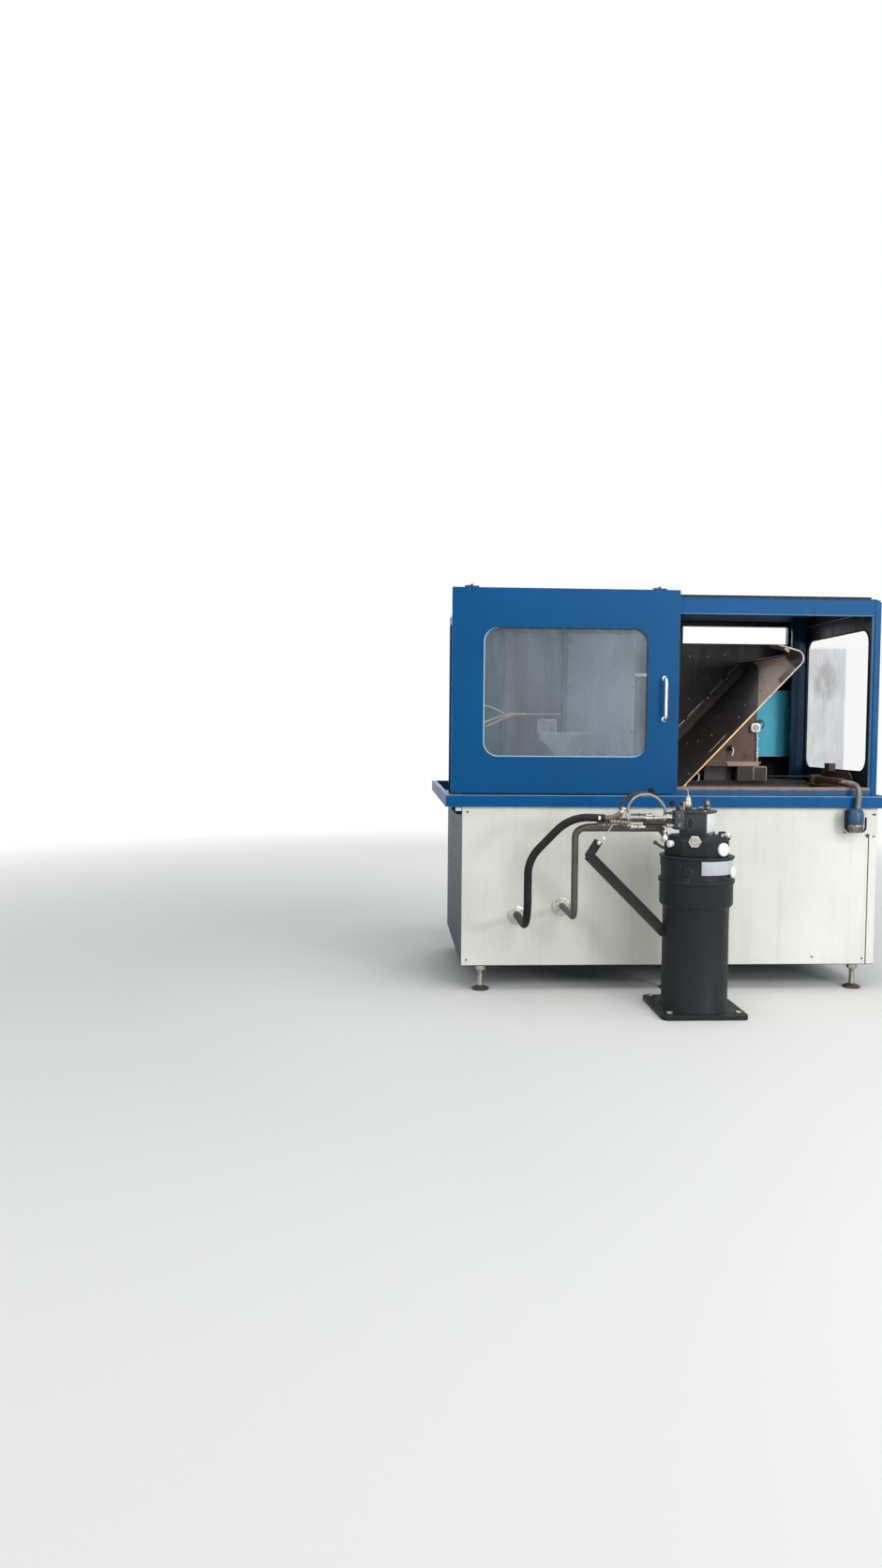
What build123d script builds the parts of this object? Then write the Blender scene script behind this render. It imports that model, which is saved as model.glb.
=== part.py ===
"""Surface hardening machine: cabinet base, drip tray, glazed enclosure with one sliding door,
work station inside, and the hydraulic unit that stands in front of the base.

Millimetres. +X runs along the machine to the right, +Y goes back, +Z up. The origin is on the
floor, under the centre of the whole machine's box. A depth is measured back from the tray's
front face, and back() turns it into Y.
"""
import os
from math import atan2, ceil, cos, degrees, pi, radians, sin, tan

from build123d import *

# Drip tray
tray_side_reach = 94.0
tray_rear_reach = 340.0
tray_top = 1085.0
rim_height = 65.0
rim_width = 30.0
rim_edge_radius = 5.0
tray_sheet = 5.0

# Cabinet base
base_width = 2336.0
base_front = 20.0
base_depth = 1280.0
base_bottom = 136.0
base_sheet = 3.0
base_tube = 50.0
corner_strip_width = 44.0
strip_gap = 6.0
panel_edge_gap = 4.0
foot_pad_radius = 48.0
foot_pad_height = 22.0
foot_spindle_radius = 15.0
foot_nut_radius = 30.0
foot_nut_height = 24.0
foot_inset = 110.0
gusset_thickness = 8.0
gusset_height = 150.0
gusset_gap = 24.0
gusset_end_gap = 12.0

# Socket plate, plug and conduit
plate_width = 200.0
plate_height = 142.0
plate_thickness = 4.0
plate_from_top = 6.0
plate_corner_radius = 6.0
plug_radius = 50.0
plug_height = 112.0
plug_tip_radius = 31.0
plug_ring_radius = 40.0
plug_ring_bottom = 9.0
plug_ring_top = 31.0
plug_step_height = 5.0
plug_shoulder_height = 13.0
plug_crown_radius = 43.0
plug_neck_side = 60.0
plug_neck_bottom = 37.0
plug_drop = 26.0
plug_offset = 58.0
plug_stand_off = 14.0
conduit_radius = 15.0
conduit_lead_bend = 140.0
conduit_bow_bend = 210.0
conduit_bend = 70.0
conduit_lift = 8.0
conduit_straight = 60.0
conduit_bow = 24.0
clamp_length = 36.0
clamp_from_left = 34.0
clamp_from_front = 252.0
clamp_side = 60.0
gland_radius = 24.0
gland_height = 22.0

# Enclosure
enclosure_front = 36.0
enclosure_top = 2180.0
post_width = 40.0
post_radius = 8.0
post_crown_radius = 28.0
mid_post_width = 60.0
mid_post_depth = 100.0
mid_post_to_rear = 232.0
rear_post_width = 56.0
front_rail_height = 90.0
front_rail_depth = 30.0
side_rail_height = 60.0
rear_rail_height = 33.0
sill_height = 50.0
sill_depth = 30.0
roof_sheet = 4.0
panel_sheet = 4.0
rear_gap = 113.0
glass_thickness = 5.0
glass_lap = 18.0
glass_corner_radius = 80.0
side_window_front = 96.0
window_post_gap = 8.0
side_window_bottom = 1218.0
side_window_height = 808.0
divider_x = 0.0

# Sliding door, at rest pushed to the left
door_width = 1254.0
door_height = 1117.0
door_past_side = 65.0
door_lift = 12.0
door_set_back = 4.0
door_thickness = 22.0
door_skin = 3.0
door_corner_radius = 6.0
door_window_width = 904.0
door_window_height = 703.0
door_window_from_left = 174.0
door_window_from_bottom = 200.0
window_margin = 16.0
handle_radius = 8.5
handle_length = 242.0
handle_reach = 48.0
handle_bend = 20.0
handle_from_right = 82.0
handle_from_bottom = 400.0
hanger_width = 80.0
hanger_sheet = 5.0
hanger_above_door = 11.0
hanger_below_top = 60.0
hanger_stud_radius = 4.5
hanger_stud_height = 12.0
hanger_from_left = 68.0
hanger_from_right = 70.0
wheel_radius = 18.0
wheel_flange = 3.0
wheel_side_play = 1.0
axle_radius = 5.0
track_height = 12.0
track_depth = 12.0
track_chamfer = 2.0
track_short_of_right = 58.0
rolling_gap = 0.5

# Work station seen through the open doorway
bed_length = 740.0
bed_to_side = 188.0
bed_front = 420.0
bed_depth = 360.0
bed_height = 104.0
guide_rail_width = 46.0
guide_rail_foot = 33.0
guide_rail_height = 22.0
chute_front = 300.0
chute_wall_gap = 3.0
chute_sheet = 5.0
chute_foot_to_side = 1075.5
chute_angle = 46.5
chute_slope = 1120.0
chute_bend_radius = 50.0
chute_lip_turn = 90.0
chute_ear_turn = 118.0
chute_ear_length = 118.0
chute_ear_depth = 150.0
chute_upstand = 52.0
liner_sheet = 3.0
liner_front_start = 765.0
liner_length = 670.0
liner_margin = 6.0
column_width = 292.0
column_to_side = 506.0
column_front = 450.0
column_depth = 290.0
flange_height = 30.0
flange_lap = 22.0
web_recess = 70.0
fixture_width = 176.0
fixture_left_half = 97.0
fixture_height = 86.0
fixture_depth = 200.0
fixture_overhang = 57.0
fixture_slot = 4.0
fixture_chamfer = 3.0
fixture_step = 6.0
switch_width = 56.0
switch_height = 60.0
switch_depth = 30.0
switch_corner_radius = 14.0
switch_overhang = 14.0
switch_centre_z = 1467.0
transformer_width = 350.0
transformer_height = 435.0
transformer_depth = 170.0
transformer_to_side = 48.0
transformer_bottom = 1281.0
transformer_radius = 8.0

# Work station behind the parked door
tower_from_side = 278.0
tower_to_chute = 24.5
tower_to_wall = 122.0
tower_depth = 250.0
tower_top_gap = 60.0
tower_plate_width = 444.0
tower_plate_proud = 30.0
tower_plate_from_right = 40.0
slot_width = 44.0
slot_depth = 35.0
slot_from_plate = 92.0
thin_slot_width = 28.0
thin_slot_from_plate = 8.0
duct_width = 100.0
duct_depth = 120.0
duct_from_tower = 18.0
pedestal_from_side = 618.0
pedestal_y = 610.0
pedestal_top = 1430.0
pedestal_head = 320.0
pedestal_head_height = 46.0
pedestal_neck = 110.0
pedestal_neck_drop = 198.0
pedestal_flare_drop = 110.0
pedestal_flare = 13.0
pedestal_foot = 300.0
pedestal_foot_height = 90.0
pedestal_depth = 180.0
part_box_width = 116.0
part_box_height = 78.0
part_box_left = 172.0
lead_radius = 8.0
lead_z = 1541.0
lead_run = 298.0
lead_straight = 136.0
inductor_length = 310.0
lead_spread = 62.0
lead_block_width = 44.0
lead_block_height = 200.0
lead_block_depth = 80.0
inductor_width = 26.0
inductor_height = 18.0

# Conduit shelf inside, at the right
shelf_width = 144.0
shelf_front = 200.0
shelf_length = 420.0
shelf_thickness = 8.0
shelf_drop = 24.0
shelf_wall_height = 78.0
shelf_wall_gap = 24.0
shelf_nose_radius = 60.0
shelf_box_width = 44.0
shelf_box_height = 46.0
shelf_box_length = 64.0

# Hydraulic unit in front of the base
unit_x = 15.0
unit_forward = 400.0
unit_turn = 37.0
foot_side = 440.0
foot_thickness = 24.0
barrel_radius = 168.0
body_radius = 186.0
body_bottom = 560.0
body_shoulder = 20.0
body_ring_radius = 193.0
body_ring_bottom = 671.0
body_ring_height = 18.0
body_neck_radius = 180.0
body_rim_height = 10.0
collar_bottom = 796.0
collar_top = 905.0
collar_radius = 172.0
collar_sides = 8
collar_turn = 2.0
collar_chamfer = 12.0
block_side = 142.0
block_top = 1031.0
cap_plate_height = 11.0
cap_plate_lap = 8.0
plug_cap_reach = 22.0
hex_cap_radius = 30.0
hex_cap_rise = 34.0
round_cap_radius = 32.0
round_cap_aside = 28.0
small_cap_radius = 18.0
small_cap_rise = 20.0
tall_fitting_height = 92.0
tall_fitting_radius = 18.0
tall_fitting_aside = 37.0
short_fitting_height = 48.0
short_fitting_radius = 16.0
short_fitting_aside = 57.0
short_fitting_behind = 18.0
elbow_height = 22.0
elbow_radius = 13.0
elbow_aside = 8.0
elbow_before = 34.0
manifold_z = 984.0
manifold_end_x = -440.0
manifold_radius = 19.0
manifold_collar_radius = 27.0
manifold_collar_length = 24.0
manifold_collars = 5
loop_radius = 7.0
loop_left_x = -350.0
loop_right_x = -162.0
loop_top_z = 1124.0
loop_boss_radius = 12.0
loop_boss_top = 34.0
hose_radius = 22.0
hose_end_x = -860.0
hose_end_z = 420.0
hose_bend = 190.0
hose_wall_bend = 150.0
hose_shoulder_x = -640.0
hose_rise = 18.0
hose_lead = 30.0
return_radius = 14.0
return_z = 930.0
return_elbow_x = -615.0
return_bend = 40.0
return_behind = 60.0
return_start_aside = 138.0
return_start_drop = 64.0
return_start_run = 32.0
return_end_z = 470.0
wall_flange_radius = 52.0
wall_flange_thickness = 14.0
wall_flange_chamfer = 5.0
arm_thickness = 22.0
arm_width = 62.0
arm_top_x = -497.0
arm_top_z = 876.0
arm_elbow_x = -532.0
arm_elbow_z = 789.0
arm_low_z = 360.0
arm_in_barrel = 17.0

# Sections of round bars, and the largest turn of one step round a bend
pipe_sides = 12
thin_sides = 8
hose_sides = 16
wheel_sides = 24
barrel_sides = 32
nut_sides = 6
bend_step = 15.0

# Worked out from the sizes above
base_rear = base_front + base_depth
tray_depth = base_rear + tray_rear_reach
unit_reach = unit_forward + foot_side / 2
front_y = (unit_reach - tray_depth) / 2
half_base = base_width / 2
half_tray = half_base + tray_side_reach
half_enclosure = half_base
rim_bottom = tray_top - rim_height
base_top = rim_bottom
floor_top = base_top + tray_sheet
enclosure_rear = base_rear
panel_face = half_enclosure - post_width
rear_wall_depth = enclosure_rear - rear_post_width / 2
door_left = half_enclosure + door_past_side
sill_top = tray_top + sill_height
door_bottom = tray_top + door_lift
door_top = door_bottom + door_height
door_back = door_set_back + door_thickness
door_window_bottom = door_bottom + door_window_from_bottom
mid_post_front = enclosure_rear - mid_post_to_rear - mid_post_depth
side_window_length = mid_post_front - window_post_gap - side_window_front
track_bottom = enclosure_top + roof_sheet
track_top = track_bottom + track_height
rear_wall_top = enclosure_top - rear_rail_height - rear_gap
conduit_z = sill_top + conduit_lift + conduit_radius
plug_x = half_base - plate_width + plug_offset - rim_width / 2
plug_depth = base_front - base_sheet - plate_thickness - plug_stand_off - plug_radius
plug_top = rim_bottom - plug_drop + gland_height
shelf_top = conduit_z - shelf_drop
shelf_right = panel_face - shelf_wall_gap
shelf_left = shelf_right - shelf_width
clamp_x = shelf_left + clamp_from_left
clamp_depth = shelf_front + clamp_from_front
bed_right = panel_face - bed_to_side
bed_left = bed_right - bed_length
chute_foot_x = panel_face - chute_foot_to_side
column_right = panel_face - column_to_side
column_left = column_right - column_width
rails_top = floor_top + bed_height + guide_rail_height
flange_bottom = rails_top + fixture_height
tower_left = -panel_face + tower_from_side
tower_right = chute_foot_x - tower_to_chute
tower_front = rear_wall_depth - tower_to_wall - tower_depth
pedestal_x = -panel_face + pedestal_from_side


def back(depth):
    """Y of a depth measured back from the tray's front face."""
    return front_y + depth


def block(x_from, x_to, depth_from, depth_to, z_from, z_to, radius=0.0, along=Axis.Z):
    """Straight bar between two corners, its edges along one axis rounded."""
    size = (x_to - x_from, depth_to - depth_from, z_to - z_from)
    centre = ((x_from + x_to) / 2, back((depth_from + depth_to) / 2), (z_from + z_to) / 2)
    bar = Pos(*centre) * Box(*size)
    if radius > 0:
        bar = fillet(bar.edges().filter_by(along), radius)
    return bar


def front_sheet(x_from, x_to, z_from, z_to, depth, thickness, radius=0.0):
    """Sheet facing the front, its front face at the given depth."""
    plane = Plane(origin=((x_from + x_to) / 2, back(depth), (z_from + z_to) / 2),
                  x_dir=(1, 0, 0), z_dir=(0, -1, 0))
    outline = rounded(x_to - x_from, z_to - z_from, radius)
    return extrude(plane * outline, amount=-thickness)


def side_sheet(depth_from, depth_to, z_from, z_to, x_from, thickness, radius=0.0):
    """Sheet facing sideways, from one X outwards by its thickness (minus is to the left)."""
    plane = Plane(origin=(x_from, back((depth_from + depth_to) / 2), (z_from + z_to) / 2),
                  x_dir=(0, 1, 0), z_dir=(1, 0, 0))
    outline = rounded(depth_to - depth_from, z_to - z_from, radius)
    return extrude(plane * outline, amount=thickness)


def rounded(width, height, radius):
    """Rectangle with rounded corners, or a sharp one where the radius is nought."""
    if radius > 0:
        return RectangleRounded(width, height, radius)
    return Rectangle(width, height)


def bend_stations(before, corner, after, radius):
    """Points round one bend, from its first tangent point to its last."""
    arrive = (corner - before).normalized()
    leave = (after - corner).normalized()
    turn = arrive.get_angle(leave)
    half = radians(turn / 2)
    centre = corner + (leave - arrive).normalized() * (radius / cos(half))
    spoke = corner - arrive * (radius * tan(half)) - centre
    axis = Axis((0, 0, 0), arrive.cross(leave))
    steps = ceil(turn / bend_step)
    return [centre + spoke.rotate(axis, turn * step / steps) for step in range(steps + 1)]


def bar_along(points, bends, radius, sides):
    """Many-sided bar along straight runs, each bend made of short mitred steps."""
    corners = [Vector(*point) for point in points]
    stations = [corners[0]]
    for index, bend in enumerate(bends):
        stations += bend_stations(*corners[index:index + 3], bend)
    stations.append(corners[-1])
    path = Polyline(*stations)
    section = Plane(origin=path @ 0, z_dir=path % 0) * RegularPolygon(radius, sides)
    return sweep(section, path=path, transition=Transition.RIGHT)


def faceted(profile, sides, at, direction=(0, 0, 1)):
    """Many-sided piece from (radius, height) steps, standing on a point and pointing one way."""
    solid = None
    for (low_radius, low), (high_radius, high) in zip(profile, profile[1:]):
        if low == high:
            continue
        wide = max(low_radius, high_radius)
        shrink = (wide - min(low_radius, high_radius)) * cos(pi / sides)
        lean = degrees(atan2(shrink, high - low))
        ring = extrude(RegularPolygon(wide, sides), amount=high - low, taper=lean)
        if low_radius < high_radius:
            ring = Pos(0, 0, high) * Rot(180, 0, 0) * ring
        else:
            ring = Pos(0, 0, low) * ring
        solid = ring if solid is None else solid + ring
    return Plane(origin=at, z_dir=direction) * solid


def save(shape, name):
    """Write one sub-part."""
    export_step(shape, f"parts/{name}.step")


def base_frame():
    """Welded tube frame of the cabinet base, under its sheets."""
    front = base_front + base_sheet
    rear = base_rear - base_sheet
    side = half_base - base_sheet
    low = base_bottom + base_sheet
    frame = None
    for x in (-side, -base_tube / 2, side - base_tube):
        for depth in (front, rear - base_tube):
            post = block(x, x + base_tube, depth, depth + base_tube, low, base_top)
            frame = post if frame is None else frame + post
    for z in (low, base_top - base_tube):
        for depth in (front, rear - base_tube):
            frame += block(-side + base_tube / 2, side - base_tube / 2, depth, depth + base_tube,
                           z, z + base_tube)
        for x in (-side, -base_tube / 2, side - base_tube):
            frame += block(x, x + base_tube, front + base_tube / 2, rear - base_tube / 2,
                           z, z + base_tube)
    return frame


def base_front_panels():
    """Cream front sheet and the narrow corner strip beside it."""
    low = base_bottom + panel_edge_gap
    seam = half_base - corner_strip_width
    sheet = front_sheet(-half_base, seam - strip_gap, low, base_top, base_front, base_sheet)
    strip = front_sheet(seam, half_base, low, base_top, base_front, base_sheet)
    return Compound([sheet, strip])


def base_shell():
    """Left, right, rear and bottom sheets of the cabinet base, folded and welded as one."""
    front = base_front + base_sheet
    rear = base_rear - base_sheet
    shell = block(-half_base, half_base, front, rear, base_bottom, base_bottom + base_sheet)
    shell += front_sheet(-half_base, half_base, base_bottom, base_top, rear, base_sheet)
    for x in (-half_base, half_base - base_sheet):
        shell += side_sheet(front, rear, base_bottom, base_top, x, base_sheet)
    return shell


def levelling_feet():
    """Six feet: pad, spindle and lock nut under the frame's posts."""
    feet = []
    nut_bottom = base_bottom - foot_nut_height
    pad = [(foot_pad_radius, 0.0), (foot_pad_radius, foot_pad_height / 2),
           (foot_spindle_radius, foot_pad_height)]
    spindle = [(foot_spindle_radius, foot_pad_height), (foot_spindle_radius, nut_bottom)]
    nut = [(foot_nut_radius, nut_bottom), (foot_nut_radius, base_bottom)]
    for x in (-half_base + foot_inset, 0.0, half_base - foot_inset):
        for depth in (base_front + base_sheet + base_tube / 2,
                      base_rear - base_sheet - base_tube / 2):
            at = (x, back(depth), 0.0)
            feet.append(faceted(pad, pipe_sides, at) + faceted(spindle, pipe_sides, at)
                        + faceted(nut, nut_sides, at))
    return Compound(feet)


def tray_gussets():
    """Triangular brackets that carry the tray where it reaches past the base."""
    rear_length = tray_rear_reach - rim_width - gusset_end_gap
    side_length = tray_side_reach - rim_width - gusset_end_gap
    brackets = []
    for x in (-half_base + foot_inset, -half_base / 3, half_base / 3, half_base - foot_inset):
        plane = Plane(origin=(x - gusset_thickness / 2, back(base_rear), base_top),
                      x_dir=(0, 1, 0), z_dir=(1, 0, 0))
        outline = make_face(Polyline((0, 0), (rear_length, 0), (rear_length, -gusset_gap),
                                     (gusset_gap, -gusset_height), (0, -gusset_height),
                                     close=True))
        brackets.append(extrude(plane * outline, amount=gusset_thickness))
    for side in (-1, 1):
        for depth in (base_front + foot_inset, base_rear - foot_inset):
            plane = Plane(origin=(side * half_base, back(depth), base_top),
                          x_dir=(side, 0, 0), z_dir=(0, -side, 0))
            outline = make_face(Polyline((0, 0), (side_length, 0), (side_length, -gusset_gap),
                                         (gusset_gap, -side_length), (0, -side_length),
                                         close=True))
            brackets.append(extrude(plane * outline, amount=gusset_thickness / 2, both=True))
    return Compound(brackets)


def tray_floor():
    """Flat tray bottom between the rims, lying on the base."""
    return block(-half_tray + rim_width, half_tray - rim_width, rim_width,
                 tray_depth - rim_width, base_top, floor_top)


def tray_rim(x_from, x_to, depth_from, depth_to, along):
    """One rim bar, rounded along its length."""
    bar = block(x_from, x_to, depth_from, depth_to, rim_bottom, tray_top)
    return fillet(bar.edges().filter_by(along).group_by(Axis.Z)[-1], rim_edge_radius)


def socket_plate():
    """Small cream cover under the plug."""
    right = half_base
    top = base_top - plate_from_top
    return front_sheet(right - plate_width, right, top - plate_height, top,
                       base_front - plate_thickness, plate_thickness, plate_corner_radius)


def plug_connector():
    """Blue round connector with its neck to the plate, and the gland on top."""
    bottom = plug_top - gland_height - plug_height
    shoulder = plug_top - gland_height
    body_profile = [
        (plug_tip_radius, bottom),
        (plug_ring_radius, bottom + plug_ring_bottom),
        (plug_ring_radius, bottom + plug_ring_top),
        (plug_radius, bottom + plug_ring_top + plug_step_height),
        (plug_radius, shoulder - plug_shoulder_height),
        (plug_crown_radius, shoulder),
    ]
    at = (plug_x, back(plug_depth), 0.0)
    body = faceted(body_profile, hose_sides, at)
    body += faceted([(gland_radius, shoulder), (gland_radius, plug_top)], pipe_sides, at)
    neck_depth = base_front - plate_thickness
    neck_bottom = bottom + plug_neck_bottom
    neck = block(plug_x - plug_neck_side / 2, plug_x + plug_neck_side / 2, plug_depth, neck_depth,
                 neck_bottom, neck_bottom + plug_neck_side)
    return body + neck


def conduit_route():
    """Points of the conduit's route, from the shelf inside to the connector's gland."""
    start = (clamp_x, back(clamp_depth), conduit_z)
    lead = (clamp_x, back(clamp_depth - conduit_straight), conduit_z)
    bow = (plug_x + conduit_bow, back(shelf_front), conduit_z)
    corner = (plug_x, back(plug_depth), conduit_z)
    end = (plug_x, back(plug_depth), plug_top)
    return [start, lead, bow, corner, end]


def flexible_conduit():
    """Grey conduit over the sill and down to the connector."""
    bends = [conduit_lead_bend, conduit_bow_bend, conduit_bend]
    return bar_along(conduit_route(), bends, conduit_radius, pipe_sides)


def post(x_from, width, depth_from, depth):
    """Upright square tube of the enclosure, standing on the tray floor."""
    return block(x_from, x_from + width, depth_from, depth_from + depth, floor_top,
                 enclosure_top, post_radius)


def front_post(side):
    """Front corner post with its outer top corner rounded off."""
    x_from = panel_face if side > 0 else -half_enclosure
    envelope = block(x_from, x_from + post_width, enclosure_front, enclosure_front + post_width,
                     floor_top, enclosure_top)
    crown = envelope.edges().filter_by(Axis.Y).group_by(Axis.Z)[-1].sort_by(Axis.X)
    envelope = fillet(crown[-1] if side > 0 else crown[0], post_crown_radius)
    return post(x_from, post_width, enclosure_front, post_width) & envelope


def front_top_rail():
    """Deep blue rail over the doorway."""
    return block(-panel_face, panel_face, enclosure_front, enclosure_front + front_rail_depth,
                 enclosure_top - front_rail_height, enclosure_top, rim_edge_radius, Axis.X)


def rear_top_rail():
    """Shallow rail above the gap in the rear wall."""
    inner = half_enclosure - rear_post_width
    return block(-inner, inner, enclosure_rear - rear_post_width, enclosure_rear,
                 enclosure_top - rear_rail_height, enclosure_top, rim_edge_radius, Axis.X)


def side_top_rail(side):
    """Rail along one side, between the corner posts."""
    inner = panel_face if side > 0 else -half_enclosure
    return block(inner, inner + post_width, enclosure_front + post_width,
                 enclosure_rear - rear_post_width, enclosure_top - side_rail_height,
                 enclosure_top, rim_edge_radius, Axis.Y)


def front_sill():
    """Rail across the front that the doorway and the fixed panel stand on."""
    return block(-panel_face, panel_face, enclosure_front, enclosure_front + sill_depth,
                 floor_top, sill_top, rim_edge_radius, Axis.X)


def roof():
    """Roof sheet over the whole enclosure."""
    reach = half_enclosure - post_crown_radius
    return block(-reach, reach, enclosure_front, enclosure_rear, enclosure_top,
                 enclosure_top + roof_sheet)


def door_track():
    """Black rail on the roof's front edge, which the door's wheels run on."""
    rail = block(-half_enclosure + post_crown_radius, half_enclosure - track_short_of_right,
                 track_depth_front(), track_depth_front() + track_depth,
                 track_bottom, track_top)
    return chamfer(rail.edges().filter_by(Axis.X).group_by(Axis.Z)[-1], track_chamfer)


def track_depth_front():
    """Depth of the track's front face."""
    return enclosure_front + (front_rail_depth - track_depth) / 2


def side_window_panel(side):
    """Side sheet with its rounded window, outside the mid post."""
    x = side * panel_face
    sheet = side_sheet(enclosure_front + post_width, enclosure_rear - rear_post_width,
                       floor_top, enclosure_top - side_rail_height, x, side * panel_sheet)
    window_top = side_window_bottom + side_window_height
    hole = side_sheet(side_window_front, side_window_front + side_window_length,
                      side_window_bottom, window_top, x, side * panel_sheet,
                      glass_corner_radius)
    return sheet - hole


def side_glass(side):
    """Pane over the side window, on the sheet's outer face."""
    x = side * (panel_face + panel_sheet)
    window_top = side_window_bottom + side_window_height
    return side_sheet(side_window_front - glass_lap,
                      side_window_front + side_window_length + glass_lap,
                      side_window_bottom - glass_lap, window_top + glass_lap, x,
                      side * glass_thickness, glass_corner_radius + glass_lap)


def fixed_panel_box():
    """Left, right, bottom and top of the fixed panel's window."""
    left = door_window_from_left - door_left - window_margin
    right = left + door_window_width + 2 * window_margin
    bottom = door_window_bottom - window_margin
    top = bottom + door_window_height + 2 * window_margin
    return left, right, bottom, top


def fixed_front_panel():
    """Fixed sheet behind the parked door with its window, and the upright at its free edge."""
    left, right, bottom, top = fixed_panel_box()
    upright = block(divider_x - post_width, divider_x, enclosure_front,
                    enclosure_front + front_rail_depth, sill_top,
                    enclosure_top - front_rail_height)
    depth = enclosure_front + sill_depth
    sheet = front_sheet(-panel_face, divider_x, sill_top - rim_width,
                        enclosure_top - front_rail_height + rim_width, depth, panel_sheet)
    hole = front_sheet(left, right, bottom, top, depth, panel_sheet,
                       glass_corner_radius + window_margin)
    return sheet - hole + upright


def fixed_front_glass():
    """Pane on the fixed panel's inner face."""
    left, right, bottom, top = fixed_panel_box()
    depth = enclosure_front + sill_depth + panel_sheet
    return front_sheet(left - glass_lap, right + glass_lap, bottom - glass_lap,
                       top + glass_lap, depth, glass_thickness,
                       glass_corner_radius + window_margin + glass_lap)


def rear_wall():
    """Rear sheet, open above to the rail."""
    inner = half_enclosure - rear_post_width
    return front_sheet(-inner, inner, floor_top, rear_wall_top, rear_wall_depth, panel_sheet)


def door_leaf():
    """Door pan: thin front skin, folded edges and a folded frame round the window."""
    left = -door_left
    right = left + door_width
    leaf = front_sheet(left, right, door_bottom, door_top, door_set_back, door_thickness,
                       door_corner_radius)
    pocket = front_sheet(left + door_skin, right - door_skin, door_bottom + door_skin,
                         door_top - door_skin, door_set_back + door_skin,
                         door_thickness - door_skin, door_corner_radius / 2)
    window_left = left + door_window_from_left
    window_right = window_left + door_window_width
    window_top = door_window_bottom + door_window_height
    frame = front_sheet(window_left - glass_lap - door_skin, window_right + glass_lap + door_skin,
                        door_window_bottom - glass_lap - door_skin,
                        window_top + glass_lap + door_skin, door_set_back + door_skin,
                        door_thickness - door_skin, glass_corner_radius + glass_lap)
    seat = front_sheet(window_left - glass_lap, window_right + glass_lap,
                       door_window_bottom - glass_lap, window_top + glass_lap,
                       door_set_back + door_skin, door_thickness - door_skin,
                       glass_corner_radius + glass_lap - door_skin)
    hole = front_sheet(window_left, window_right, door_window_bottom, window_top,
                       door_set_back, door_skin, glass_corner_radius)
    return leaf - pocket + (frame - seat) - hole


def door_glass():
    """Pane seated behind the door's skin."""
    window_left = -door_left + door_window_from_left
    window_right = window_left + door_window_width
    return front_sheet(window_left - glass_lap, window_right + glass_lap,
                       door_window_bottom - glass_lap,
                       door_window_bottom + door_window_height + glass_lap,
                       door_set_back + door_skin, glass_thickness,
                       glass_corner_radius + glass_lap - door_skin)


def door_handle():
    """Chrome bow handle on the door's right stile."""
    x = -door_left + door_width - handle_from_right
    low = door_bottom + handle_from_bottom + handle_radius
    high = low + handle_length - 2 * handle_radius
    face = back(door_set_back)
    out = back(door_set_back - handle_reach + handle_radius)
    points = [(x, face, low), (x, out, low), (x, out, high), (x, face, high)]
    return bar_along(points, [handle_bend, handle_bend], handle_radius, pipe_sides)


def door_hangers():
    """Two hanger plates on the door's back, each with its stud, axle and grooved wheel."""
    wheel_z = track_top + rolling_gap + wheel_radius
    wheel_width = track_depth + 2 * (wheel_flange + wheel_side_play)
    wheel_front = track_depth_front() + (track_depth - wheel_width) / 2
    plate_top = door_top + hanger_above_door
    centres = (-door_left + hanger_from_left + hanger_width / 2,
               -door_left + door_width - hanger_from_right - hanger_width / 2)
    hangers = []
    profile = [
        (wheel_radius + wheel_flange, 0.0),
        (wheel_radius + wheel_flange, wheel_flange),
        (wheel_radius, wheel_flange),
        (wheel_radius, wheel_width - wheel_flange),
        (wheel_radius + wheel_flange, wheel_width - wheel_flange),
        (wheel_radius + wheel_flange, wheel_width),
    ]
    for x in centres:
        plate = front_sheet(x - hanger_width / 2, x + hanger_width / 2,
                            door_top - hanger_below_top, plate_top, door_back, hanger_sheet)
        plate = fillet(plate.edges().filter_by(Axis.Y), door_corner_radius)
        axle = faceted([(axle_radius, 0.0), (axle_radius, wheel_front - door_back)],
                       pipe_sides, (x, back(door_back), wheel_z), (0, 1, 0))
        wheel = faceted(profile, wheel_sides, (x, back(wheel_front), wheel_z), (0, 1, 0))
        stud = faceted([(hanger_stud_radius, -hanger_sheet), (hanger_stud_radius,
                                                              hanger_stud_height)],
                       thin_sides, (x, back(door_back + hanger_sheet / 2), plate_top))
        hangers.append(plate + axle + wheel + stud)
    return Compound(hangers)


def slide_bed():
    """Machine bed on the tray floor with two guide rails along it."""
    top = floor_top + bed_height
    bed = block(bed_left, bed_right, bed_front, bed_front + bed_depth, floor_top, top)
    bed = chamfer(bed.edges().filter_by(Axis.X).group_by(Axis.Z)[-1], rim_edge_radius)
    for depth in (bed_front + guide_rail_width, bed_front + bed_depth - 2 * guide_rail_width):
        plane = Plane(origin=(bed_left, back(depth + guide_rail_width / 2), top),
                      x_dir=(0, 1, 0), z_dir=(1, 0, 0))
        foot = guide_rail_foot / 2
        outline = make_face(Polyline((-foot, 0), (foot, 0),
                                     (guide_rail_width / 2, guide_rail_height),
                                     (-guide_rail_width / 2, guide_rail_height), close=True))
        bed += extrude(plane * outline, amount=bed_right - bed_left)
    web_right = column_right + fixture_overhang - fixture_width - fixture_slot
    web_front = column_front + web_recess
    bed += block(column_left, web_right, web_front, column_front + column_depth, top,
                 flange_bottom)
    return bed


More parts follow.
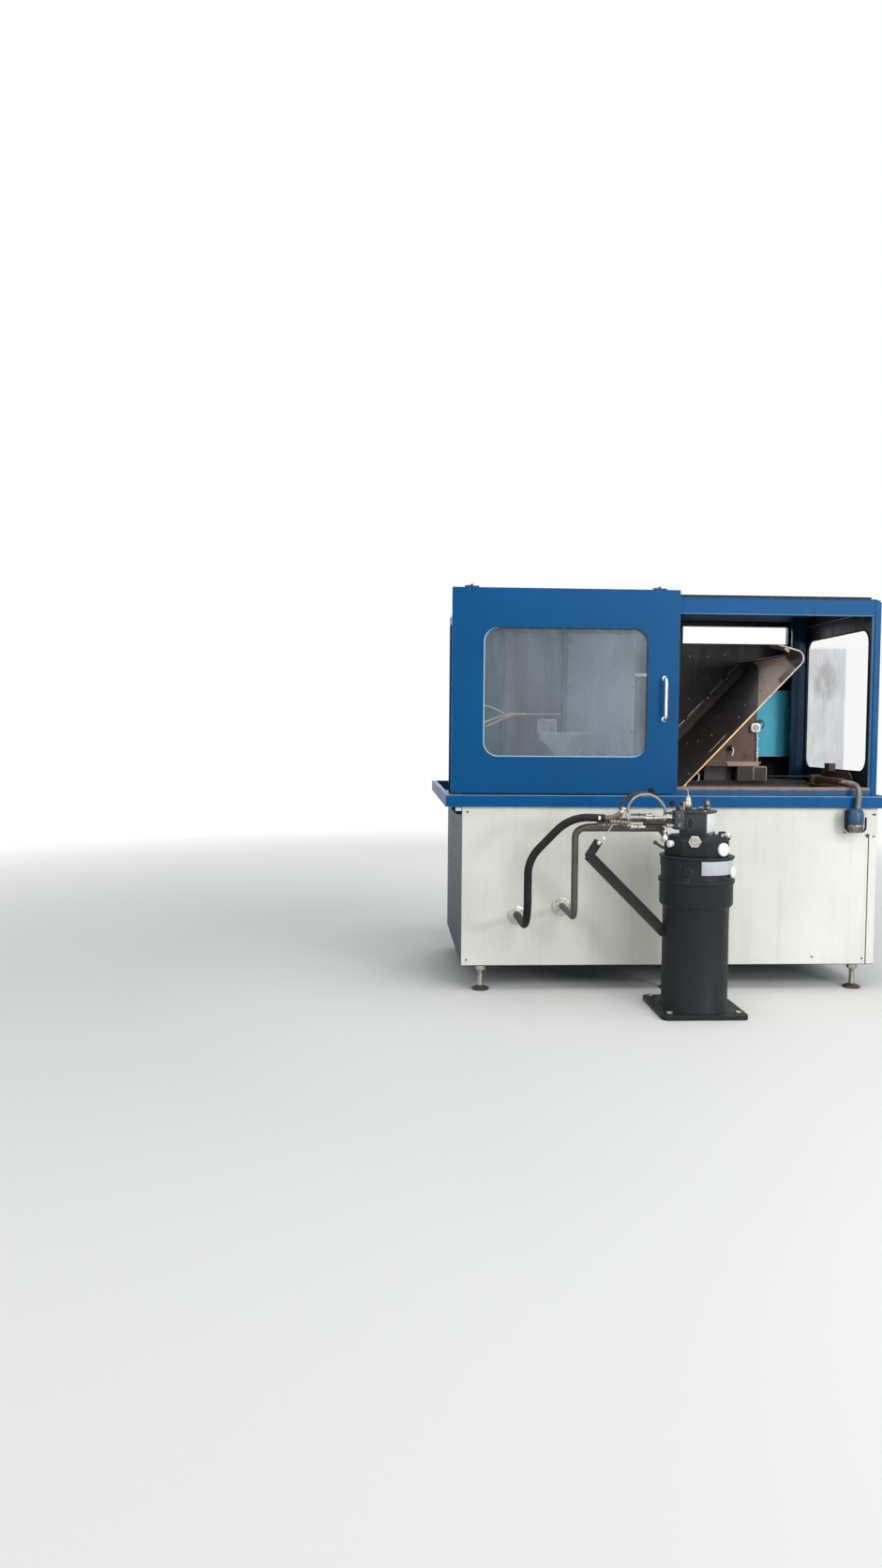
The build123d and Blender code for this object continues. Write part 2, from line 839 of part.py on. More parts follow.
def chute_point(along, above):
    """X and Z of a point along the chute's underside and square above it."""
    angle = radians(chute_angle)
    x = chute_foot_x + along * cos(angle) - above * sin(angle)
    z = floor_top + along * sin(angle) + above * cos(angle)
    return x, z


def chute_sheet_section(turn, tip):
    """Cross-section of the pan: long slope, rounded bend by an angle, and a straight tip."""
    start = chute_point(chute_slope, 0)
    centre = chute_point(chute_slope, chute_bend_radius)
    first = chute_angle - 90
    outer_arc = CenterArc(centre, chute_bend_radius, first, turn)
    inner_arc = CenterArc(centre, chute_bend_radius - chute_sheet, first, turn)
    heading = radians(chute_angle + turn)
    step = Vector(cos(heading), sin(heading)) * tip
    low = chute_point(0, 0)
    inner_low = chute_point(0, chute_sheet)
    edges = [
        Line(low, start),
        outer_arc,
        Line(outer_arc @ 1, outer_arc @ 1 + step),
        Line(outer_arc @ 1 + step, inner_arc @ 1 + step),
        Line(inner_arc @ 1 + step, inner_arc @ 1),
        inner_arc,
        Line(inner_arc @ 0, inner_low),
        Line(inner_low, low),
    ]
    return make_face(edges)


def splash_chute():
    """Tilted steel pan with a rolled upper end, an ear at its front and an upstand behind."""
    front = Plane(origin=(0, back(chute_front), 0), x_dir=(1, 0, 0), z_dir=(0, -1, 0))
    rear_depth = rear_wall_depth - chute_wall_gap
    pan = extrude(front * chute_sheet_section(chute_lip_turn, chute_sheet),
                  amount=chute_front - rear_depth)
    pan += extrude(front * chute_sheet_section(chute_ear_turn, chute_ear_length),
                   amount=-chute_ear_depth)
    corners = [chute_point(0, 0), chute_point(chute_slope, 0),
               chute_point(chute_slope, chute_upstand), chute_point(chute_upstand, chute_upstand)]
    rear = Plane(origin=(0, back(rear_depth - chute_sheet), 0), x_dir=(1, 0, 0),
                 z_dir=(0, -1, 0))
    pan += extrude(rear * make_face(Polyline(*corners, close=True)), amount=-chute_sheet)
    below = block(-half_tray, half_tray, 0, tray_depth, 0, floor_top)
    return pan - below


def chute_liner():
    """Paler plate on the upper end of the chute's floor, with a slanting lower edge."""
    angle = radians(chute_angle)
    origin = chute_point(0, chute_sheet)
    plane = Plane(origin=(origin[0], back(0), origin[1]), x_dir=(cos(angle), 0, sin(angle)),
                  z_dir=(-sin(angle), 0, cos(angle)))
    front = chute_front + liner_margin
    end = chute_slope - liner_margin
    outline = make_face(Polyline((liner_front_start, front), (end, front),
                                 (end, chute_front + liner_length), close=True))
    return extrude(plane * outline, amount=liner_sheet)


def slide_column():
    """Brown column under the chute with its foot flange; its top slopes with the chute."""
    slope = tan(radians(chute_angle))
    left_top = floor_top + (column_left - chute_foot_x) * slope
    right_top = floor_top + (column_right - chute_foot_x) * slope
    plane = Plane(origin=(0, back(column_front), 0), x_dir=(1, 0, 0), z_dir=(0, -1, 0))
    outline = make_face(Polyline((column_left, flange_bottom), (column_right, flange_bottom),
                                 (column_right, right_top), (column_left, left_top),
                                 close=True))
    column = extrude(plane * outline, amount=-column_depth)
    flange = block(column_left - flange_lap, column_right, column_front - flange_lap,
                   column_front + column_depth + flange_lap, flange_bottom,
                   flange_bottom + flange_height)
    return column + flange


def fixture_box():
    """Grey clamping box in two halves under the column's flange."""
    left = column_right + fixture_overhang - fixture_width
    middle = left + fixture_left_half
    halves = []
    for x_from, x_to, drop in ((left, middle - fixture_slot / 2, 0.0),
                               (middle + fixture_slot / 2, left + fixture_width,
                                fixture_step)):
        half = block(x_from, x_to, column_front - flange_lap, column_front + fixture_depth,
                     rails_top, flange_bottom - drop)
        halves.append(chamfer(half.edges().filter_by(Axis.Y), fixture_chamfer))
    return Compound(halves)


def limit_switch():
    """Rounded white switch on the column's front face."""
    right = column_right + switch_overhang
    return front_sheet(right - switch_width, right,
                       switch_centre_z - switch_height / 2, switch_centre_z + switch_height / 2,
                       column_front - switch_depth, switch_depth, switch_corner_radius)


def transformer_box():
    """Teal box on the rear wall."""
    right = panel_face - transformer_to_side
    return block(right - transformer_width, right, rear_wall_depth - transformer_depth,
                 rear_wall_depth, transformer_bottom,
                 transformer_bottom + transformer_height, transformer_radius)


def guide_tower():
    """Tall machine column with two upright slots and a raised slide plate."""
    top = enclosure_top - side_rail_height - tower_top_gap
    tower = block(tower_left, tower_right, tower_front, tower_front + tower_depth,
                  floor_top, top, rim_edge_radius)
    plate_right = tower_right - tower_plate_from_right
    plate_left = plate_right - tower_plate_width
    tower += block(plate_left, plate_right, tower_front - tower_plate_proud, tower_front,
                   floor_top, top - tower_top_gap)
    for offset, width in ((slot_from_plate, slot_width), (thin_slot_from_plate,
                                                          thin_slot_width)):
        right = plate_left - offset
        tower -= block(right - width, right, tower_front, tower_front + slot_depth,
                       floor_top + bed_height, top - tower_top_gap)
    return tower


def tower_duct():
    """Teal upright duct at the left of the column."""
    right = tower_left - duct_from_tower
    top = enclosure_top - side_rail_height - tower_top_gap
    return block(right - duct_width, right, tower_front, tower_front + duct_depth,
                 floor_top, top, post_radius)


def work_pedestal():
    """Anvil-shaped work support with the small square holder on top."""
    half_head = pedestal_head / 2
    half_neck = pedestal_neck / 2
    half_foot = pedestal_foot / 2
    head_low = pedestal_top - pedestal_head_height
    foot_high = floor_top + pedestal_foot_height
    plane = Plane(origin=(pedestal_x, back(pedestal_y - pedestal_depth / 2), 0),
                  x_dir=(1, 0, 0), z_dir=(0, -1, 0))
    flare_z = head_low - pedestal_flare_drop
    neck_low = head_low - pedestal_neck_drop
    left_flank = ThreePointArc((-half_head, head_low), (-half_neck - pedestal_flare, flare_z),
                               (-half_neck, neck_low))
    right_flank = ThreePointArc((half_head, head_low), (half_neck + pedestal_flare, flare_z),
                                (half_neck, neck_low))
    edges = [
        Line((-half_head, head_low), (-half_head, pedestal_top)),
        Line((-half_head, pedestal_top), (half_head, pedestal_top)),
        Line((half_head, pedestal_top), (half_head, head_low)),
        right_flank,
        Line((half_neck, neck_low), (half_foot, foot_high)),
        Line((half_foot, foot_high), (half_foot, floor_top)),
        Line((half_foot, floor_top), (-half_foot, floor_top)),
        Line((-half_foot, floor_top), (-half_foot, foot_high)),
        Line((-half_foot, foot_high), (-half_neck, neck_low)),
        left_flank,
    ]
    pedestal = extrude(plane * make_face(edges), amount=-pedestal_depth)
    box_left = pedestal_x - part_box_left
    holder = block(box_left, box_left + part_box_width, pedestal_y - part_box_width / 2,
                   pedestal_y + part_box_width / 2, pedestal_top,
                   pedestal_top + part_box_height)
    return pedestal + holder


def inductor_leads():
    """Two copper leads from their block on the left side, joined to the inductor bar."""
    wall_x = -panel_face
    y = back(pedestal_y)
    start_x = wall_x + lead_block_width
    join_x = wall_x + lead_run
    leads = block(wall_x, start_x, pedestal_y - lead_block_depth / 2,
                  pedestal_y + lead_block_depth / 2, lead_z - lead_block_height / 2,
                  lead_z + lead_block_height / 2, post_radius, Axis.X)
    for rise in (lead_spread, -lead_spread):
        points = [(start_x, y, lead_z + rise), (start_x + lead_straight, y, lead_z + rise),
                  (join_x, y, lead_z)]
        leads += bar_along(points, [lead_spread], lead_radius, thin_sides)
    leads += block(join_x - inductor_width, join_x + inductor_length,
                   pedestal_y - inductor_width / 2, pedestal_y + inductor_width / 2,
                   lead_z - inductor_height / 2, lead_z + inductor_height / 2)
    return leads


def conduit_shelf():
    """Brown shelf at the right, with its rounded wall, foot and terminal box."""
    wall_left = shelf_right - shelf_thickness
    rear = shelf_front + shelf_length
    shelf = block(shelf_left, shelf_right, shelf_front, rear, shelf_top - shelf_thickness,
                  shelf_top)
    wall_top = shelf_top + shelf_wall_height
    wall = block(wall_left, shelf_right, shelf_front, rear, floor_top, wall_top)
    nose = wall.edges().filter_by(Axis.X).group_by(Axis.Z)[-1].sort_by(Axis.Y)[0]
    wall = fillet(nose, shelf_nose_radius)
    box_front = clamp_depth - clamp_length / 2
    box = block(shelf_right - shelf_box_width, shelf_right, box_front,
                box_front + shelf_box_length, wall_top, wall_top + shelf_box_height)
    box = fillet(box.edges().filter_by(Axis.Z), rim_edge_radius)
    clamp = block(clamp_x - clamp_side / 2, clamp_x + clamp_side / 2, clamp_depth,
                  clamp_depth + clamp_length, shelf_top, conduit_z + clamp_side / 2)
    return shelf + wall + box + clamp


def unit_body():
    """Foot plate, barrel, ringed body and the eight-sided collar of the hydraulic unit."""
    at = (unit_x, back(-unit_forward), 0.0)
    foot = Pos(*at) * extrude(RectangleRounded(foot_side, foot_side, 4 * post_radius),
                              amount=foot_thickness)
    body_ring_top = body_ring_bottom + body_ring_height
    profile = [
        (barrel_radius, foot_thickness),
        (barrel_radius, body_bottom - body_shoulder),
        (body_radius, body_bottom),
        (body_radius, body_ring_bottom),
        (body_ring_radius, body_ring_bottom),
        (body_ring_radius, body_ring_top),
        (body_neck_radius, body_ring_top),
        (body_neck_radius, collar_bottom - body_rim_height),
        (body_ring_radius, collar_bottom - body_rim_height),
        (body_ring_radius, collar_bottom),
    ]
    barrel = faceted(profile, barrel_sides, at)
    collar = extrude(RegularPolygon(collar_radius, collar_sides), amount=collar_top - collar_bottom)
    collar = chamfer(collar.edges().filter_by(Plane.XY).group_by(Axis.Z)[-1], collar_chamfer)
    collar = Pos(unit_x, back(-unit_forward), collar_bottom) * Rot(0, 0, collar_turn) * collar
    return foot + barrel + collar


def unit_valve_block():
    """Square valve block turned on the collar, with its wider cap plate."""
    cube = extrude(Rectangle(block_side, block_side), amount=block_top - collar_top)
    cube = chamfer(cube.edges().filter_by(Axis.Z), rim_edge_radius)
    cap_side = block_side + 2 * cap_plate_lap
    cap = Pos(0, 0, block_top - collar_top) * extrude(
        RectangleRounded(cap_side, cap_side, cap_plate_lap), amount=cap_plate_height)
    return Pos(unit_x, back(-unit_forward), collar_top) * Rot(0, 0, -unit_turn) * (cube + cap)


def unit_fittings():
    """Screwed fittings on the cap plate and round caps on the collar."""
    pieces = []
    top = block_top + cap_plate_height
    for aside, behind, radius, height in (
            (-tall_fitting_aside, 0.0, tall_fitting_radius, tall_fitting_height),
            (short_fitting_aside, short_fitting_behind, short_fitting_radius,
             short_fitting_height),
            (-elbow_aside, -elbow_before, elbow_radius, elbow_height)):
        at = (unit_x + aside, back(-unit_forward + behind), top)
        hexagon = faceted([(radius, 0.0), (radius, height * 0.38)], nut_sides, at)
        spigot = faceted([(radius * 0.7, height * 0.38), (radius * 0.7, height * 0.85),
                          (radius * 0.4, height)], thin_sides, at)
        pieces.append(hexagon + spigot)
    middle = (collar_bottom + collar_top) / 2
    flat = collar_radius * cos(pi / collar_sides)
    for step, aside, rise, radius, sides in (
            (-1, 0.0, small_cap_rise, small_cap_radius, pipe_sides),
            (0, 0.0, hex_cap_rise, hex_cap_radius, nut_sides),
            (1, round_cap_aside, 0.0, round_cap_radius, hose_sides)):
        facing = collar_turn - 90 - 180 / collar_sides + step * 360 / collar_sides
        direction = Vector(1, 0, 0).rotate(Axis.Z, facing)
        along = Vector(0, 1, 0).rotate(Axis.Z, facing) * aside
        at = Vector(unit_x, back(-unit_forward), middle + rise) + direction * flat + along
        cap_profile = [(radius, 0.0), (radius, plug_cap_reach * 0.7),
                       (radius * 0.8, plug_cap_reach)]
        pieces.append(faceted(cap_profile, sides, at, direction))
    return Compound(pieces)


def pipe_manifold():
    """Row of screwed connectors from the valve block towards the hoses."""
    y = back(-unit_forward)
    length = unit_x - manifold_end_x
    at = (manifold_end_x, y, manifold_z)
    row = faceted([(manifold_radius, 0.0), (manifold_radius, length)], pipe_sides, at, (1, 0, 0))
    pitch = length / manifold_collars
    for step in range(manifold_collars):
        begin = step * pitch + (pitch - manifold_collar_length) / 2
        collar = [(manifold_collar_radius, begin),
                  (manifold_collar_radius, begin + manifold_collar_length)]
        row += faceted(collar, nut_sides, at, (1, 0, 0))
    for x in (loop_left_x, loop_right_x):
        boss = [(loop_boss_radius, 0.0), (loop_boss_radius, loop_boss_top)]
        row += faceted(boss, pipe_sides, (x, y, manifold_z))
    return row - unit_valve_block()


def loop_pipe():
    """Small braided line that loops over the manifold."""
    y = back(-unit_forward)
    half = (loop_right_x - loop_left_x) / 2
    low = manifold_z + loop_boss_top
    high = loop_top_z - loop_radius
    points = [(loop_left_x, y, low), (loop_left_x, y, high), (loop_right_x, y, high),
              (loop_right_x, y, low)]
    bend = min(half, high - low) - loop_radius / 4
    return bar_along(points, [bend, bend], loop_radius, thin_sides)


def supply_hose():
    """Thick black hose from the manifold, over its shoulder, down and back to the cabinet."""
    y = back(-unit_forward)
    shoulder_z = manifold_z + hose_rise
    fall = hose_shoulder_x - hose_end_x
    points = [
        (manifold_end_x, y, manifold_z),
        (manifold_end_x - hose_lead, y, manifold_z),
        (hose_shoulder_x, y, shoulder_z),
        (hose_end_x, y, shoulder_z - fall),
        (hose_end_x, y, hose_end_z),
        (hose_end_x, back(base_front - wall_flange_thickness), hose_end_z),
    ]
    bends = [hose_bend, hose_bend, hose_bend, hose_wall_bend]
    return bar_along(points, bends, hose_radius, hose_sides)


def return_pipe():
    """Brownish bent pipe from the unit, down and back to the cabinet."""
    y = back(-unit_forward + return_behind)
    start_x = unit_x - return_start_aside
    points = [
        (start_x, y, return_z - return_start_drop),
        (start_x - return_start_run, y, return_z),
        (return_elbow_x, y, return_z),
        (return_elbow_x, y, return_end_z),
        (return_elbow_x, back(base_front - wall_flange_thickness), return_end_z),
    ]
    bends = [return_bend, return_bend, return_bend]
    return bar_along(points, bends, return_radius, pipe_sides) - unit_body()


def pipe_flanges():
    """Two round flanges on the cabinet's front where the hose and the pipe go in."""
    depth = base_front - wall_flange_thickness
    profile = [
        (wall_flange_radius - wall_flange_chamfer, 0.0),
        (wall_flange_radius, wall_flange_chamfer),
        (wall_flange_radius, wall_flange_thickness),
    ]
    flanges = []
    for x, z in ((hose_end_x, hose_end_z), (return_elbow_x, return_end_z)):
        flanges.append(faceted(profile, hose_sides, (x, back(depth), z), (0, 1, 0)))
    return Compound(flanges)


def unit_arm():
    """Dark bent bar from the barrel up to the hoses."""
    low_x = unit_x - barrel_radius + arm_in_barrel
    half = arm_width / 2
    lean = atan2(arm_elbow_z - arm_low_z, low_x - arm_elbow_x)
    off = (half * sin(lean), half * cos(lean))
    outline = make_face(Polyline(
        (low_x - off[0], arm_low_z - off[1]),
        (low_x + off[0], arm_low_z + off[1]),
        (arm_elbow_x + half, arm_elbow_z + half),
        (arm_top_x + half, arm_top_z),
        (arm_top_x - half / 2, arm_top_z + half / 2),
        (arm_elbow_x - half, arm_elbow_z),
        close=True))
    plane = Plane(origin=(0, back(-unit_forward - arm_thickness / 2), 0), x_dir=(1, 0, 0),
                  z_dir=(0, -1, 0))
    return extrude(plane * outline, amount=-arm_thickness) - unit_body()


os.makedirs("parts", exist_ok=True)

save(base_frame(), "base_frame")
save(base_front_panels(), "base_front_panels")
save(base_shell(), "base_shell")
save(levelling_feet(), "levelling_feet")
save(tray_gussets(), "tray_gussets")
save(socket_plate(), "socket_plate")
save(plug_connector(), "plug_connector")
save(flexible_conduit(), "flexible_conduit")

save(tray_floor(), "tray_floor")
save(tray_rim(-half_tray, half_tray, 0, rim_width, Axis.X), "tray_front_rim")
save(tray_rim(-half_tray, half_tray, tray_depth - rim_width, tray_depth, Axis.X),
     "tray_rear_rim")
save(tray_rim(-half_tray, -half_tray + rim_width, rim_width, tray_depth - rim_width, Axis.Y),
     "tray_left_rim")
save(tray_rim(half_tray - rim_width, half_tray, rim_width, tray_depth - rim_width, Axis.Y),
     "tray_right_rim")

rear_post_front = enclosure_rear - rear_post_width
for side_name, mid, rear in (
        ("left", -panel_face, -half_enclosure),
        ("right", panel_face - mid_post_width, half_enclosure - rear_post_width)):
    save(post(mid, mid_post_width, mid_post_front, mid_post_depth), f"mid_{side_name}_post")
    save(post(rear, rear_post_width, rear_post_front, rear_post_width),
         f"rear_{side_name}_post")
for side_name, side in (("left", -1), ("right", 1)):
    save(front_post(side), f"front_{side_name}_post")
    save(side_top_rail(side), f"{side_name}_top_rail")
    save(side_window_panel(side), f"{side_name}_side_panel")
    save(side_glass(side), f"{side_name}_side_glass")
save(front_top_rail(), "front_top_rail")
save(rear_top_rail(), "rear_top_rail")
save(front_sill(), "front_sill")
save(roof(), "roof_sheet")
save(door_track(), "door_track")
save(fixed_front_panel(), "fixed_front_panel")
save(fixed_front_glass(), "fixed_front_glass")
save(rear_wall(), "rear_wall")

save(door_leaf(), "door_leaf")
save(door_glass(), "door_glass")
save(door_handle(), "door_handle")
save(door_hangers(), "door_hangers")

save(slide_bed(), "slide_bed")
save(splash_chute(), "splash_chute")
save(chute_liner(), "chute_liner")
save(slide_column(), "slide_column")
save(fixture_box(), "fixture_box")
save(limit_switch(), "limit_switch")
save(transformer_box(), "transformer_box")
save(guide_tower(), "guide_tower")
save(tower_duct(), "tower_duct")
save(work_pedestal(), "work_pedestal")
save(inductor_leads(), "inductor_leads")
save(conduit_shelf(), "conduit_shelf")

save(unit_body(), "unit_body")
save(unit_valve_block(), "unit_valve_block")
save(unit_fittings(), "unit_fittings")
save(pipe_manifold(), "pipe_manifold")
save(loop_pipe(), "loop_pipe")
save(supply_hose(), "supply_hose")
save(return_pipe(), "return_pipe")
save(pipe_flanges(), "pipe_flanges")
save(unit_arm(), "unit_arm")
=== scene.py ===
import math
from functools import cached_property

import bpy
from mathutils import Matrix, Vector


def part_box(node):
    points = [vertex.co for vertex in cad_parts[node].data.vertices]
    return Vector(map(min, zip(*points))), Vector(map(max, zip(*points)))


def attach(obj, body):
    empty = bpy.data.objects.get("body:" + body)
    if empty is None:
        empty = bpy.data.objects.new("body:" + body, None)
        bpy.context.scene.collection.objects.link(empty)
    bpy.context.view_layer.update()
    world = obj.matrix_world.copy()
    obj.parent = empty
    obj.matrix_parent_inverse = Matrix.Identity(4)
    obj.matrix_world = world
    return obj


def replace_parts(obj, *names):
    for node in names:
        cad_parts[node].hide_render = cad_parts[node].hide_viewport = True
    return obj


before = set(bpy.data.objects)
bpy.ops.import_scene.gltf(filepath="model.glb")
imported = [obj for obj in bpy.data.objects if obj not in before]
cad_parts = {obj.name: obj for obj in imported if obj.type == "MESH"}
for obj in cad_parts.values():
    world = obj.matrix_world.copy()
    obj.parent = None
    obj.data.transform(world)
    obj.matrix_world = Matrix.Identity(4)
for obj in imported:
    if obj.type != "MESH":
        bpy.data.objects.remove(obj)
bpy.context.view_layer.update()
scene = bpy.context.scene

# The photograph's eye, measured from the middle of the machine and the tray's front face
TRAY_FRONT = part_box("tray_front_rim")[0].y
EYE_X = -1.596
EYE_BEFORE_TRAY = 5.69
EYE_HEIGHT = 1.436
YAW = math.radians(3.1)
PITCH = math.radians(2.93)
ROLL = math.radians(0.46)
PHOTO_HEIGHT = 1672
FOCAL_PIXELS = 1115
SENSOR = 36.0


def at_depth(depth):
    """Y of a depth measured back from the tray's front face."""
    return TRAY_FRONT + depth


def set_camera():
    """Camera at the photograph's place, angle and field of view."""
    camera_data = bpy.data.cameras.new("camera")
    camera = bpy.data.objects.new("camera", camera_data)
    scene.collection.objects.link(camera)
    eye = Vector((EYE_X, TRAY_FRONT - EYE_BEFORE_TRAY, EYE_HEIGHT))
    turn = Matrix.Rotation(-YAW, 4, "Z") @ Matrix.Rotation(math.pi / 2 - PITCH, 4, "X")
    camera.matrix_world = Matrix.Translation(eye) @ turn @ Matrix.Rotation(ROLL, 4, "Z")
    camera_data.sensor_fit = "VERTICAL"
    camera_data.sensor_height = SENSOR
    camera_data.lens = SENSOR * FOCAL_PIXELS / PHOTO_HEIGHT
    scene.camera = camera


# Finishes: colours, and the nodes that lay them


def paint(colour):
    """Linear colour of a paint given as it looks, each part from 0 to 255."""
    def linear(value):
        value = value / 255
        return value / 12.92 if value <= 0.04045 else ((value + 0.055) / 1.055) ** 2.4
    return (*(linear(part) for part in colour), 1.0)


def spaced(inputs):
    """Inputs by their names on the node, which have spaces for underscores."""
    return {label.replace("_", " "): value for label, value in inputs.items()}


class Coat:
    """Node tree of a finish, with short ways to place its nodes."""

    def __init__(self, tree):
        self.tree = tree

    @cached_property
    def place(self):
        """Object coordinates."""
        return self.add("TexCoord").outputs["Object"]

    @cached_property
    def axes(self):
        """X, Y and Z of the Object coordinates."""
        return self.add("SeparateXYZ", {0: self.place}).outputs

    def fill(self, made, inputs):
        """Link or set a node's inputs."""
        for key, value in inputs.items():
            if isinstance(value, bpy.types.NodeSocket):
                self.tree.links.new(value, made.inputs[key])
            else:
                made.inputs[key].default_value = value
        return made

    def add(self, kind, inputs=(), **settings):
        """A node with its settings, and its inputs linked or set."""
        made = self.tree.nodes.new("ShaderNode" + kind)
        for key, value in settings.items():
            setattr(made, key, value)
        return self.fill(made, dict(inputs))

    def use(self, group, **inputs):
        """Output of a node group that is given its own values."""
        return self.add("Group", spaced(inputs), node_tree=group).outputs[0]

    def shade(self, colour, roughness, **more):
        """Fill the Principled shader."""
        self.fill(self.tree.nodes["Principled BSDF"],
                  {"Base Color": colour, "Roughness": roughness, **spaced(more)})

    def calc(self, operation, first, second=0.0, clamp=False):
        """Result of one sum on two values."""
        return self.add("Math", {0: first, 1: second}, operation=operation,
                        use_clamp=clamp).outputs[0]

    def plus(self, first, second, clamp=False):
        """Two values added."""
        return self.calc("ADD", first, second, clamp)

    def times(self, first, second, clamp=False):
        """Two values multiplied."""
        return self.calc("MULTIPLY", first, second, clamp)

    def vector(self, operation, first, second=(0.0, 0.0, 0.0), output=0):
        """Result of one sum on two places."""
        return self.add("VectorMath", {0: first, 1: second}, operation=operation).outputs[output]

    def mixed(self, factor, first, second):
        """Colour between two colours."""
        return self.add("Mix", {0: factor, 6: first, 7: second}, data_type="RGBA").outputs[2]

    def spread(self, value, low, high, to_low=0.0, to_high=1.0):
        """Value stretched from one range to another, and held there."""
        return self.add("MapRange", {0: value, 1: low, 2: high, 3: to_low, 4: to_high}).outputs[0]

    def drawn_down(self, share):
        """Object coordinates that change more slowly downwards."""
        return self.add("Mapping", {"Vector": self.place, "Scale": (1.0, 1.0, share)}).outputs[0]

    def noise(self, scale, detail=3.0, rough=0.5, place=None):
        """Grey noise at a scale in cycles a metre."""
        return self.add("TexNoise", {"Vector": place or self.place, "Scale": scale,
                                     "Detail": detail, "Roughness": rough}).outputs[0]

    def bump(self, strength, distance, height, normal):
        """Normal with a relief on it."""
        return self.add("Bump", {"Strength": strength, "Distance": distance, "Height": height,
                                 "Normal": normal}).outputs[0]


def node_group(output, **inputs):
    """Node group with number inputs and one output, named for the function that lays it."""
    def build(lay):
        tree = bpy.data.node_groups.new(lay.__name__, "ShaderNodeTree")
        for label, default in spaced(inputs).items():
            socket = tree.interface.new_socket(label, in_out="INPUT",
                                               socket_type="NodeSocketFloat")
            socket.default_value = default
        kind = "NodeSocketVector" if output == "Normal" else "NodeSocketFloat"
        tree.interface.new_socket(output, in_out="OUTPUT", socket_type=kind)
        laid = lay(Coat(tree), tree.nodes.new("NodeGroupInput").outputs)
        tree.links.new(laid, tree.nodes.new("NodeGroupOutput").inputs[output])
        return tree
    return build


@node_group("Mask", Radius=0.003, Break_Up=60.0, Amount=0.6)
def edge_wear(coat, given):
    """Mask that is white along outer edges, broken up by noise."""
    rounded = coat.add("Bevel", {"Radius": given["Radius"]}, samples=6).outputs[0]
    flat = coat.add("NewGeometry").outputs["Normal"]
    edge = coat.spread(coat.vector("DOT_PRODUCT", rounded, flat, "Value"), 0.985, 0.86)
    broken = coat.spread(coat.noise(given["Break Up"], 4.0, 0.65), 0.42, 0.6)
    return coat.times(coat.times(edge, broken), given["Amount"], clamp=True)


@node_group("Normal", Radius=0.0015, Peel=0.1, Peel_Scale=420.0, Ripple=0.1)
def skin(coat, given):
    """Normal of a painted skin: softened edges, a fine peel and a slow ripple of the sheet."""
    rounded = coat.add("Bevel", {"Radius": given["Radius"]}, samples=6).outputs[0]
    ripple = coat.bump(given["Ripple"], 0.02, coat.noise(2.6, 1.0), rounded)
    return coat.bump(given["Peel"], 0.001, coat.noise(given["Peel Scale"], 2.0), ripple)


@node_group("Mask", Blotch_Scale=3.0, Run_Scale=22.0, Runs=0.5, Low=0.45, High=0.8)
def grime(coat, given):
    """Mask of old dirt: soft blotches and runs that go down the sheet."""
    blotch = coat.noise(given["Blotch Scale"], 5.0, 0.6)
    runs = coat.noise(given["Run Scale"], 4.0, 0.6, coat.drawn_down(0.06))
    both = coat.add("Mix", {0: given["Runs"], 2: blotch, 3: runs}).outputs[0]
    return coat.spread(both, given["Low"], given["High"])


@node_group("Mask", Drop_Scale=90.0, Share=0.3)
def dried_spray(coat, given):
    """Mask of dried drops of quench fluid, small rings and spots."""
    warp = coat.add("TexNoise", {"Vector": coat.place, "Scale": 30.0}).outputs[1]
    loose = coat.add("Mix", {0: 0.02, 4: coat.place, 5: warp}, data_type="VECTOR").outputs[1]
    cells = coat.add("TexVoronoi", {"Vector": loose, "Scale": given["Drop Scale"]}).outputs
    spot = coat.spread(cells["Distance"], 0.32, 0.2)
    pick = coat.add("SeparateColor", {0: cells["Color"]}).outputs[0]
    kept = coat.calc("LESS_THAN", pick, given["Share"])
    patch = coat.spread(coat.noise(4.0), 0.42, 0.62)
    return coat.times(coat.times(spot, kept), patch)


INNER_SIDE = 1.1285
INNER_FRONT = at_depth(0.0655)
INNER_TOP = 2.1805


@node_group("Mask")
def enclosure_shade_mask(coat, given):
    """Mask of the faces that look into the enclosure, which take a painted shade."""
    aside = coat.calc("LESS_THAN", coat.calc("ABSOLUTE", coat.axes["X"]), INNER_SIDE)
    behind = coat.calc("GREATER_THAN", coat.axes["Y"], INNER_FRONT)
    under = coat.calc("LESS_THAN", coat.axes["Z"], INNER_TOP)
    return coat.times(coat.times(aside, behind), under)


finishes = {}


def new_finish(name):
    """Coat of a new material, which is kept by its name."""
    finishes[name] = bpy.data.materials.new(name)
    finishes[name].use_nodes = True
    return Coat(finishes[name].node_tree)


